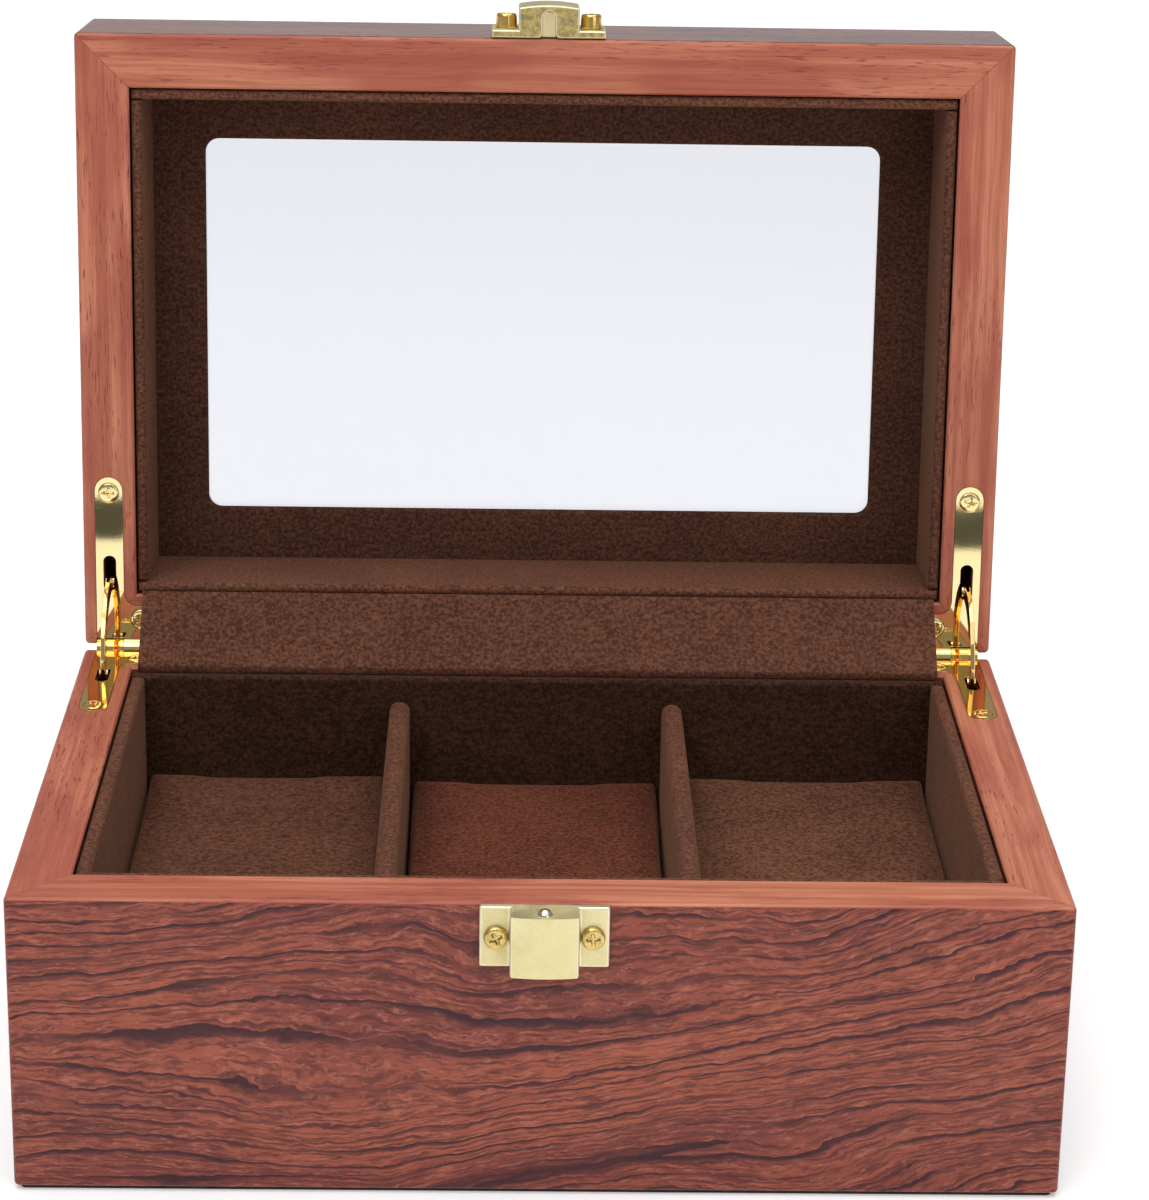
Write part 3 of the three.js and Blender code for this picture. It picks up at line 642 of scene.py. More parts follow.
    @staticmethod
    def make_handling() -> bpy.types.NodeTree:
        """Builds the marks of handling on a lacquered or plated face: soft smudges and hair-fine scratches.

        Returns:
            The group.
        """
        graph, given, made = new_group("handling", {"Vector": VECTOR}, {"Smudge": FLOAT, "Scratch": FLOAT})
        vector = given.outputs["Vector"]
        smudge = graph.remap(graph.noise(vector, (95, 95, 95), 4, 0.65), 0.40, 0.70)
        first = graph.noise(vector, (60, 2600, 900), 2)
        second = graph.noise(vector, (2400, 90, 1100), 2)
        scratch = graph.math("MAXIMUM", graph.remap(first, 0.70, 0.76), graph.remap(second, 0.71, 0.77))
        graph.feed(made.inputs["Smudge"], smudge)
        graph.feed(made.inputs["Scratch"], scratch)
        return graph.tree


# ---------------------------------------------------------------- finishes


class Finish:
    """What every finish shares: a material with one Principled shader, made once under its name."""

    def start(self, name: str, **plain: float | Sequence[float]) -> tuple[Graph, bpy.types.Node]:
        """Starts a material.

        Args:
            name: The material's name.
            plain: The shader's constant values, with spaces in their names written as underscores.

        Returns:
            The material's graph and its shader.
        """
        self.material = bpy.data.materials.new(name)
        self.material.use_nodes = True
        tree = self.material.node_tree
        shader = tree.nodes["Principled BSDF"]
        for label, value in plain.items():
            shader.inputs[label.replace("_", " ")].default_value = value
        return Graph(tree), shader

    @staticmethod
    def place(graph: Graph, frame: Frame, on_lid: bool, offset: Sequence[float] = (0, 0, 0)) -> Socket:
        """Gives Object coordinates, taken back to the shut lid on the lid's pieces.

        Args:
            graph: The material's graph.
            frame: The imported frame, for the hinge line.
            on_lid: Whether the piece is part of the lid.
            offset: Moved by this much, so that like pieces don't match.

        Returns:
            The coordinates' socket.
        """
        where = graph.add("ShaderNodeTexCoord").outputs["Object"]
        mapping = graph.add("ShaderNodeMapping", {"Vector": where})
        shift = np.array(offset, float)
        if on_lid:
            mapping.inputs["Rotation"].default_value = (frame.open_angle, 0, 0)
            shift += frame.turned(np.zeros(3), frame.open_angle)
        mapping.inputs["Location"].default_value = shift
        return mapping.outputs[0]

    @staticmethod
    def bump(
        graph: Graph, shader: bpy.types.Node, height: Socket, depth: float, strength: float = 1.0
    ) -> None:
        """Feeds a height to the shader's normal, at a depth in metres."""
        node = graph.add("ShaderNodeBump", {"Height": height, "Distance": depth, "Strength": strength})
        graph.feed(shader.inputs["Normal"], node.outputs[0])


@dataclass(frozen=True)
class Board:
    """How one piece is veneered: its grain, how steeply its figure rises, and how many dashes its rim has."""

    node: str
    grain: Grain
    rise: float = 0.0
    dashes: float = 1.0


class Lacquered(Finish):
    """Figured veneer under a thin lacquer, with straight-grained wood on the rims."""

    # How far each board's pattern is moved along and across the grain, so that no two boards match.
    MOVED_ALONG, MOVED_ACROSS = 0.31, 0.083
    EASE = 0.35 * MM
    WORN = rgb(202, 132, 108)
    LEAST_COAT = 0.08

    def __init__(
        self, frame: Frame, effects: Effects, board: Board, index: int, rim: float, faces_up: bool
    ) -> None:
        """Makes the material.

        The veneer wraps over the board's edges: what runs through it is taken off what runs across. At a
        shallow angle the lacquer turns to a pale haze.

        Args:
            frame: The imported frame.
            effects: The shared groups.
            board: The piece's grain.
            index: The board's number, which moves the pattern.
            rim: Height of the rim, lid shut.
            faces_up: Whether the rim is the board's top.
        """
        graph, shader = self.start(f"veneer_{board.node}", Coat_Roughness=0.25, Coat_IOR=1.95, IOR=1.28)
        on_lid = frame.body_of(board.node) == "lid"
        where = self.place(graph, frame, on_lid)
        axes = graph.add("ShaderNodeSeparateXYZ", {0: where}).outputs
        order = ["XYZ".index(axis) for axis in board.grain.value]
        along, across, through = (axes[axis] for axis in order)
        outer = float(np.abs([corner[order[2]] for corner in frame.drawn_box(board.node)]).max())
        wrapped = graph.math("SUBTRACT", across, graph.math("ABSOLUTE", through))
        moved = graph.math("ADD", wrapped, self.MOVED_ACROSS * index + outer)
        along = graph.math("ADD", along, self.MOVED_ALONG * index)
        face = graph.add("ShaderNodeCombineXYZ", {0: along, 1: moved, 2: through}).outputs[0]
        edge = graph.add("ShaderNodeCombineXYZ", {0: along, 1: through, 2: moved}).outputs[0]
        figure = graph.group(effects.figure, {"Vector": face, "Rise": board.rise})
        straight = graph.group(effects.rim, {"Vector": edge, "Dashes": board.dashes})
        if faces_up:
            on_rim = graph.remap(axes[2], rim - 2 * self.EASE, rim - self.EASE)
        else:
            on_rim = graph.remap(axes[2], rim + self.EASE, rim + 2 * self.EASE, 1.0, 0.0)
        marks = graph.group(effects.handling, {"Vector": where})
        colour = graph.mix(on_rim, figure["Color"], straight["Color"])
        colour = graph.mix(graph.math("MULTIPLY", graph.edge_wear_and_highlight(), 0.35), colour, self.WORN)
        height = graph.add("ShaderNodeMix", {0: on_rim, 2: figure["Height"], 3: straight["Height"]})
        graph.feed(shader.inputs["Base Color"], colour)
        rough = graph.math("MULTIPLY_ADD", marks["Smudge"], 0.10, 0.36)
        graph.feed(shader.inputs["Roughness"], graph.math("MULTIPLY_ADD", figure["Pores"], 0.25, rough))
        facing = graph.add("ShaderNodeLayerWeight", {"Blend": 0.5}).outputs["Facing"]
        off_rim = graph.math("SUBTRACT", 1.0, on_rim)
        haze = graph.math("MULTIPLY", graph.remap(facing, 0.52, 0.80), off_rim)
        coat = graph.math("MULTIPLY_ADD", haze, 1 - self.LEAST_COAT, self.LEAST_COAT)
        graph.feed(shader.inputs["Coat Weight"], coat)
        self.bump(graph, shader, height.outputs[0], 0.05 * MM, 0.8)


class Suede(Finish):
    """Brown suede over card or foam."""

    SHEEN = rgb(190, 140, 112)

    def __init__(
        self, frame: Frame, effects: Effects, name: str, dark: Colour, light: Colour,
        on_lid: bool = False, patches: float = 0.20, coarse: float = 0.5, seed: float = 0.0,
    ) -> None:
        """Makes the material.

        Args:
            frame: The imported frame.
            effects: The shared groups.
            name: The material's name.
            dark: Colour between the tufts.
            light: Colour of the tufts' tips.
            on_lid: Whether the piece is part of the lid.
            patches: How strongly the nap leans in patches.
            coarse: How coarse its relief is.
            seed: Moves the pattern, in metres.
        """
        graph, shader = self.start(
            name, Sheen_Weight=0.30, Sheen_Roughness=0.45, Sheen_Tint=(*self.SHEEN, 1), Specular_IOR_Level=0.1
        )
        where = self.place(graph, frame, on_lid, (seed, 0.7 * seed, 0))
        nap = graph.group(effects.nap, {
            "Vector": where, "Dark": (*dark, 1), "Light": (*light, 1), "Patches": patches, "Coarse": coarse,
        })
        graph.feed(shader.inputs["Base Color"], nap["Color"])
        graph.feed(shader.inputs["Roughness"], graph.math("MULTIPLY_ADD", nap["Height"], -0.12, 0.98))
        self.bump(graph, shader, nap["Height"], 0.22 * MM, 0.9)


class Plated(Finish):
    """Gold-coloured plate or bare steel, polished or satin, dull in spots, with a painted highlight on its
    rounded edges.
    """

    # Darker olive brass, painted as the shade on the lid catch's mating face.
    MATING_FACE_SHADE = rgb(206, 182, 116)
    EASE = 0.35 * MM
    DULL = 0.38
    # How far the painted highlight on rounded metal edges goes towards white.
    EDGE_HIGHLIGHT = 0.35

    def __init__(
        self, frame: Frame, effects: Effects, name: str, colour: Colour, rough: float,
        on_lid: bool = False, mottle: float = 0.0, shade_below: float | None = None,
    ) -> None:
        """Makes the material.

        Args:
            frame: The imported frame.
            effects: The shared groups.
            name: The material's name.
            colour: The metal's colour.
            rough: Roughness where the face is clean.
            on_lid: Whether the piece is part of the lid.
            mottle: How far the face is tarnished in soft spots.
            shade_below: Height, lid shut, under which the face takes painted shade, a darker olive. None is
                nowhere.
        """
        graph, shader = self.start(name, Metallic=1.0)
        where = self.place(graph, frame, on_lid)
        marks = graph.group(effects.handling, {"Vector": where})
        grain = graph.noise(where, (2600, 2600, 2600), 3, 0.7)
        spots = graph.remap(graph.noise(where, (900, 900, 900), 4, 0.75), 0.42, 0.60, 0.0, mottle)
        dull = tuple(self.DULL * share for share in colour)
        edge_highlight = tuple(self.EDGE_HIGHLIGHT + (1 - self.EDGE_HIGHLIGHT) * share for share in colour)
        # Painted shade: below the height the face turns a darker olive, with its dull spots only there.
        if shade_below is not None:
            height = graph.add("ShaderNodeSeparateXYZ", {0: where}).outputs[2]
            face_shade = graph.remap(height, shade_below, shade_below + self.EASE, 1.0, 0.0)
            spots = graph.math("MULTIPLY", spots, face_shade)
            colour = graph.mix(face_shade, colour, self.MATING_FACE_SHADE)
        body = graph.mix(spots, colour, dull)
        # Painted highlight: the rounded edges are mixed towards a pale colour.
        body = graph.mix(graph.math("MULTIPLY", graph.edge_wear_and_highlight(), 0.80), body, edge_highlight)
        graph.feed(shader.inputs["Base Color"], body)
        roughness = graph.math("MULTIPLY_ADD", marks["Smudge"], 0.6 * rough, rough)
        roughness = graph.math("MULTIPLY_ADD", marks["Scratch"], 0.05, roughness)
        graph.feed(shader.inputs["Roughness"], graph.math("MULTIPLY_ADD", grain, 0.4 * rough, roughness))
        relief = graph.math("SUBTRACT", grain, marks["Scratch"])
        self.bump(graph, shader, relief, 0.01 * MM, min(1.0, 2.5 * rough))


class Pane(Finish):
    """Clear window glass."""

    def __init__(self, frame: Frame) -> None:
        """Makes the material."""
        graph, shader = self.start(
            "window_glass", Base_Color=(*rgb(217, 218, 223), 1), Transmission_Weight=1.0, IOR=1.5
        )
        where = self.place(graph, frame, True)
        film = graph.remap(graph.noise(where, (30, 30, 30), 4, 0.6), 0.45, 0.75, 0.0, 0.015)
        graph.feed(shader.inputs["Roughness"], film)


class Plain(Finish):
    """Plywood and felt of the underside, told apart by the stretch of their noise and their colours."""

    def __init__(
        self, frame: Frame, name: str, stretch: Sequence[float], dark: Colour, light: Colour, depth: float
    ) -> None:
        """Makes the material.

        Args:
            frame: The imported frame.
            name: The material's name.
            stretch: Waves per metre along each axis.
            dark: One colour.
            light: The other colour.
            depth: Depth of the bump in metres.
        """
        graph, shader = self.start(name)
        where = self.place(graph, frame, False)
        broad = graph.noise(where, stretch, 4, 0.65)
        fine = graph.noise(where, tuple(6 * value for value in stretch), 3, 0.6)
        share = graph.remap(graph.math("ADD", broad, graph.math("MULTIPLY", fine, 0.6)), 0.55, 1.05)
        graph.feed(shader.inputs["Base Color"], graph.mix(share, dark, light))
        graph.feed(shader.inputs["Roughness"], graph.remap(fine, 0.3, 0.7, 0.78, 0.95))
        self.bump(graph, shader, fine, depth)


def dress(piece: bpy.types.Object, finish: Finish) -> None:
    """Gives a piece its material."""
    piece.data.materials.clear()
    piece.data.materials.append(finish.material)


def settle(piece: bpy.types.Object, body: str, slot: str, *nodes: str) -> None:
    """Hands a finished piece to the frame.

    Args:
        piece: The finished piece.
        body: The body that it rides on.
        slot: The record's material slot, not used.
        nodes: The nodes that it stands for.
    """
    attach(piece, body)
    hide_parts(*nodes)
    LOG.info("%s on %s, %d faces", piece.name, body, len(piece.data.polygons))


# ---------------------------------------------------------------- wood


@dataclass
class Carcass:
    """The mitred boards of base and lid, the framed top and the bottom."""

    frame: Frame
    effects: Effects
    bevel: float = 0.28 * MM

    BOARDS = (
        Board("base_front_board", Grain.ALONG_WIDTH, rise=0.11),
        Board("base_back_board", Grain.ALONG_WIDTH, rise=-0.10),
        Board("base_left_board", Grain.ALONG_DEPTH, rise=0.08, dashes=1.2),
        Board("base_right_board", Grain.ALONG_DEPTH, rise=-0.12),
        Board("lid_front_board", Grain.ALONG_WIDTH, rise=0.10, dashes=0.9),
        Board("lid_back_board", Grain.ALONG_WIDTH, rise=0.07),
        Board("lid_left_board", Grain.ALONG_DEPTH, rise=0.05, dashes=1.3),
        Board("lid_right_board", Grain.ALONG_DEPTH, rise=-0.06, dashes=1.0),
        Board("lid_top_frame", Grain.ALONG_TOP, rise=0.09),
    )

    def build(self) -> None:
        """Rounds and veneers every board, and dresses the bottom."""
        base_rim = self.frame.drawn_box("base_front_board")[1][2]
        lid_rim = self.frame.drawn_box("lid_front_board")[0][2]
        for index, board in enumerate(self.BOARDS):
            body = self.frame.body_of(board.node)
            piece = machined(f"{board.node}_veneered", self.frame.nodes[board.node], self.bevel)
            rim = lid_rim if body == "lid" else base_rim
            dress(piece, Lacquered(self.frame, self.effects, board, index, rim, body == "base"))
            settle(piece, body, "wood_veneer", board.node)
        ply_dark, ply_pale = rgb(120, 78, 52), rgb(176, 126, 88)
        plywood = Plain(self.frame, "plywood", (25, 420, 420), ply_dark, ply_pale, 0.06 * MM)
        felt = Plain(self.frame, "felt", (600, 600, 600), rgb(34, 24, 22), rgb(70, 50, 44), 0.15 * MM)
        dress(self.frame.nodes["bottom_panel"], plywood)
        dress(self.frame.nodes["bottom_felt"], felt)


# ---------------------------------------------------------------- linings


@dataclass
class Linings:
    """Card covered in suede: walls, floor, dividers, the window's surround and the strip at the hinge."""

    frame: Frame
    effects: Effects
    wall_round: float = 0.95 * MM
    divider_round: float = 1.9 * MM
    corner: float = 0.3 * MM
    aperture_round: float = 3.0 * MM
    roll: float = 0.9 * MM
    cloth: float = 0.8 * MM
    sag: float = 0.35 * MM
    ripple: float = 0.12 * MM
    tuck: float = 0.15 * MM

    DARK = rgb(70, 42, 32)
    LIGHT = rgb(118, 77, 59)

    # Painted light and shade: each lining brighter or darker for the light reaching it; and how coarse its
    # nap.
    LIGHT_AND_SHADE_TONES = {
        "base_back_lining": 0.40, "window_lining": 0.74, "lid_front_lining": 1.2, "lid_back_lining": 1.2,
    }
    COARSE = {"base_back_lining": 1.0, "window_lining": 0.7}

    def suede(self, node: str, on_lid: bool = False, seed: float = 0.0) -> Suede:
        """Makes one piece's suede, brighter or darker as painted light and shade for the light reaching it.

        Args:
            node: The node that the piece stands for.
            on_lid: Whether the piece is part of the lid.
            seed: Moves the pattern, in metres.

        Returns:
            The suede.
        """
        # Painted light and shade: scales the suede's colours, down for a wall deep in shade, up for a lit
        # one.
        tone = self.LIGHT_AND_SHADE_TONES.get(node, 1.0)
        dark, light = (tuple(tone * share for share in colour) for colour in (self.DARK, self.LIGHT))
        coarse = self.COARSE.get(node, 0.5)
        name = f"suede_{node}"
        return Suede(self.frame, self.effects, name, dark, light, on_lid, coarse=coarse, seed=seed)

    def build(self) -> None:
        """Builds every lined piece."""
        sides = ("front", "back", "left", "right")
        walls = [f"{part}_{side}_lining" for part in ("base", "lid") for side in sides]
        for index, node in enumerate([*walls, "floor_lining", "left_divider", "right_divider"]):
            body = self.frame.body_of(node)
            low, high = self.frame.drawn_box(node)
            if "divider" in node:
                rings = slab(low, high, self.divider_round, self.divider_round)
            else:
                rings = slab(low, high, self.wall_round, self.corner)
            if body == "lid":
                rings = self.frame.opened(rings)
            piece = ring_mesh(f"{node}_suede", rings)
            dress(piece, self.suede(node, body == "lid", seed=0.05 * index))
            settle(piece, body, "suede", node)
        self.build_surround()
        self.build_gusset()

    def build_surround(self) -> None:
        """Builds the window's surround: a flat frame with a roll at the opening, its section carried round.

        The section goes up round the roll, out along the top, down the outer edge and back underneath. At
        each of its points the frame's outline is a rounded rectangle.
        """
        low, high = self.frame.drawn_box("window_lining")
        opening = self.opening()
        half_out = (high - low) / 2
        middle = (high + low) / 2
        thick = high[2] - low[2]
        angle = np.linspace(-math.pi / 2, math.pi / 2, 9)
        roll_out = self.roll * (1 - np.cos(angle))
        roll_up = low[2] + thick / 2 + thick / 2 * np.sin(angle)
        flat = np.linspace(0, 1, 6)[1:-1]
        reach = half_out[:2] - opening
        spans = [self.roll + (far - self.roll) * flat for far in reach]
        across = [np.concatenate([roll_out, span, [far] * 2, span[::-1]]) for far, span in zip(reach, spans)]
        height = np.concatenate([roll_up, [high[2]] * len(flat), [high[2], low[2]], [low[2]] * len(flat)])
        share = np.clip(across[0] / reach[0], 0, 1)
        radius = (self.aperture_round + across[0]) * (1 - share) + self.corner * share
        plan = rounded_outline(opening[0] + across[0], opening[1] + across[1], radius, 8)
        rings = np.empty((len(height), plan.shape[1], 3))
        rings[..., :2] = plan + middle[:2]
        rings[..., 2] = height[:, None]
        piece = ring_mesh("window_lining_suede", self.frame.opened(rings), closed_rows=True)
        dress(piece, self.suede("window_lining", True, seed=0.9))
        settle(piece, "lid", "suede", "window_lining")

    def opening(self) -> np.ndarray:
        """Returns half the width and half the depth of the window, from its lining's innermost points."""
        points = points_of(self.frame.nodes["window_lining"])
        return np.abs(self.frame.turned(points, self.frame.open_angle))[:, :2].min(0)

    def build_gusset(self) -> None:
        """Builds the strip that closes the gap at the hinge.

        Its section, a thin band that rises from the lining, folds and runs taut to the lid with a slight sag
        and ripple, is carried along X. The band thins to its two ends by the square root of the distance.
        """
        low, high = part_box("hinge_gusset")
        points = points_of(self.frame.nodes["hinge_gusset"])
        half = self.cloth / 2
        front, top = points[points[:, 1].argmin(), 1:], points[points[:, 2].argmax(), 1:]
        lining_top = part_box("base_back_lining")[1].z
        fold = front + (half, half)
        tuck = np.array([fold[0], lining_top + self.tuck])
        end = top - half
        corners = np.array([tuck, fold, end])
        lengths = np.linalg.norm(np.diff(corners, axis=0), axis=1)
        rising, taut = np.linspace(0, lengths[0], 5)[:-1], lengths[0] + lengths[1] * np.linspace(0, 1, 14)
        along = np.concatenate([rising, taut])
        at = np.concatenate([[0], np.cumsum(lengths)])
        line = np.stack([np.interp(along, at, corners[:, axis]) for axis in (0, 1)], -1)
        slope = np.gradient(line, along, axis=0)
        normal = np.stack([-slope[:, 1], slope[:, 0]], -1)
        normal /= np.linalg.norm(normal, axis=1, keepdims=True)
        share = along / along[-1]
        thick = half * np.minimum(1, np.sqrt(np.minimum(share, 1 - share) * 30 + 0.04))
        hump = np.sin(math.pi * share)
        x = np.linspace(low.x, high.x, 70)[:, None]
        waves = 160
        shift = hump * (self.ripple * np.sin(x * waves) - self.sag)
        outer = line + (shift + thick)[..., None] * normal
        inner = line + (shift - thick)[..., None] * normal
        loop = np.concatenate([outer, inner[:, ::-1]], 1)
        rings = np.concatenate([np.broadcast_to(x[..., None], (*loop.shape[:2], 1)), loop], -1)
        piece = ring_mesh("hinge_gusset_suede", rings)
        dress(piece, self.suede("hinge_gusset", seed=1.3))
        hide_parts("hinge_gusset")
        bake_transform(piece)


@dataclass(frozen=True)
class Seat:
    """One cushion: its node and body, its suede's colours, and how far its top stands above its node's."""

    node: str
    body: str
    dark: Colour
    light: Colour
    loft: float


@dataclass
class Cushions:
    """The three loose cushions, each a foam block under suede."""

    frame: Frame
    effects: Effects
    edge: float = 1.0 * MM
    inset: float = 0.1 * MM
    crown: float = 0.4 * MM
    step: float = 2.0 * MM
    swell: float = 0.8 * MM
    uneven: float = 0.22 * MM
    pressure: float = 4.0
    quality: int = 5
    frames: int = 20

    SEATS = (
        Seat("left_cushion", "left_seat", rgb(58, 33, 25), rgb(112, 71, 53), 1.2 * MM),
        Seat("middle_cushion", "middle_seat", rgb(66, 31, 21), rgb(118, 66, 48), 0.2 * MM),
        Seat("right_cushion", "right_seat", rgb(64, 38, 28), rgb(120, 78, 58), 1.4 * MM),
    )

    def build(self) -> None:
        """Builds the cushions."""
        for index, seat in enumerate(self.SEATS):
            piece = self.pad(seat, index)
            dress(piece, Suede(
                self.frame, self.effects, f"suede_{seat.node}", seat.dark, seat.light,
                patches=0.22, seed=0.4 + 0.3 * index,
            ))
            settle(piece, seat.body, "cushion_suede", seat.node)

    def pad(self, seat: Seat, index: int) -> bpy.types.Object:
        """Builds one pad: a block with round edges and a crowned top, swollen as cloth and held in place.

        The crown is a hump that falls to nothing at the edges by a fourth power each way. Two products of
        slow sine waves along X and Y make the top a little uneven.

        Args:
            seat: The cushion's node, body, suede and loft.
            index: The cushion's number, which seeds its unevenness.

        Returns:
            The pad.
        """
        low, high = self.frame.drawn_box(seat.node)
        middle, half = (low + high) / 2, (high - low) / 2
        piece = block_mesh(f"{seat.node}_pad", half - (self.inset, self.inset, 0), self.edge, self.step)
        piece.modifiers.clear()
        points = points_of(piece) + middle
        piece.data.vertices.foreach_set("co", points.astype(np.float32).ravel())
        step = self.swollen(piece) - points
        length = np.maximum(np.linalg.norm(step, axis=1, keepdims=True), 1e-9)
        points = points + step / length * np.minimum(length, self.swell)
        x, y, z = points.T
        across = np.clip(np.abs(points - middle) / half, 0, 1)
        hump = (1 - across[:, 0] ** 4) * (1 - across[:, 1] ** 4)
        phase = np.random.default_rng(SEED + index).uniform(0, 2 * math.pi, 4)
        wave = np.sin(x * 130 + phase[0]) * np.sin(y * 90 + phase[1])
        wave += 0.6 * np.sin(x * 70 + phase[2]) * np.sin(y * 50 + phase[3])
        upper = z > middle[2]
        points[:, 2] += upper * (seat.loft + hump * (self.crown + self.uneven * wave))
        points = np.clip(points, low, high + (0, 0, seat.loft + 2 * self.crown))
        piece.data.vertices.foreach_set("co", points.astype(np.float32).ravel())
        piece.data.update()
        clean(piece)
        return piece

    def swollen(self, piece: bpy.types.Object) -> np.ndarray:
        """Blows the pad up a little as cloth, with no gravity, and takes the cloth off it again.

        Args:
            piece: The pad.

        Returns:
            The points after the last frame.
        """
        cloth = piece.modifiers.new("swell", "CLOTH")
        cloth.settings.use_pressure = True
        cloth.settings.uniform_pressure_force = self.pressure
        cloth.settings.effector_weights.gravity = 0
        cloth.settings.quality = self.quality
        cloth.point_cache.frame_start = 1
        cloth.point_cache.frame_end = self.frames
        for step in range(1, self.frames + 1):
            bpy.context.scene.frame_set(step)
        moved = points_of(piece.evaluated_get(bpy.context.evaluated_depsgraph_get()))
        piece.modifiers.clear()
        bpy.context.scene.frame_set(1)
        return moved


# ---------------------------------------------------------------- metal


@dataclass(frozen=True)
class ScrewHead:
    """A cross-head screw's shape. A raised head stands on its seat, and the others are sunk in theirs."""

    radius: float
    dome: float
    edge: float
    under: float
    length: float
    cross_width: float
    cross_reach: float
    cross_depth: float
    squareness: float
    raised: bool

    def surface(self, rings: int = 26, around: int = 72) -> np.ndarray:
        """Works out the screw as a surface of radius and angle, its head's rim in the plane z = 0, facing up.

        The top is a dome, the squarer the higher its power, that turns over at its edge. The cross is cut
        where one coordinate is under half its width, which narrows outwards, and it fades out at its reach.
        Below the rim, straight stretches run in to the shank and down to the point.

        Args:
            rings: Rings across the head.
            around: Points round each ring.

        Returns:
            The rings, from the middle of the head to the point.
        """
        turn_over, taper, slope, fade = 0.86, 0.25, 0.22, 0.35
        share = np.linspace(0.01, 1, rings)[:, None]
        angle = np.linspace(0, 2 * math.pi, around, endpoint=False)[None]
        radius = self.radius * share
        x, y = radius * np.cos(angle), radius * np.sin(angle)
        dome = self.dome * np.sqrt(np.maximum(1 - share**self.squareness, 0)) + 0 * angle
        dome -= self.edge * np.clip((share - turn_over) / (1 - turn_over), 0, 1) ** 2
        narrow, wide = np.minimum(abs(x), abs(y)), np.maximum(abs(x), abs(y))
        half = self.cross_width / 2 * (1 - taper * wide / self.cross_reach)
        inside = np.clip((half - narrow) / (slope * self.cross_width) + 0.5, 0, 1)
        ends = np.clip((self.cross_reach - wide) / (fade * self.cross_reach), 0, 1)
        head = np.stack([x, y, dome - self.cross_depth * inside * ends], -1)
        lower = np.array([
            [self.radius, -self.edge - self.under * 0.1],
            [self.radius * 0.45, -self.under],
            [self.radius * 0.42, -self.length * 0.7],
            [self.radius * 0.02, -self.length],
        ])
        out, down = lower[:, :1], lower[:, 1:]
        tail = np.stack([out * np.cos(angle), out * np.sin(angle), down + 0 * angle], -1)
        return np.concatenate([head, tail])


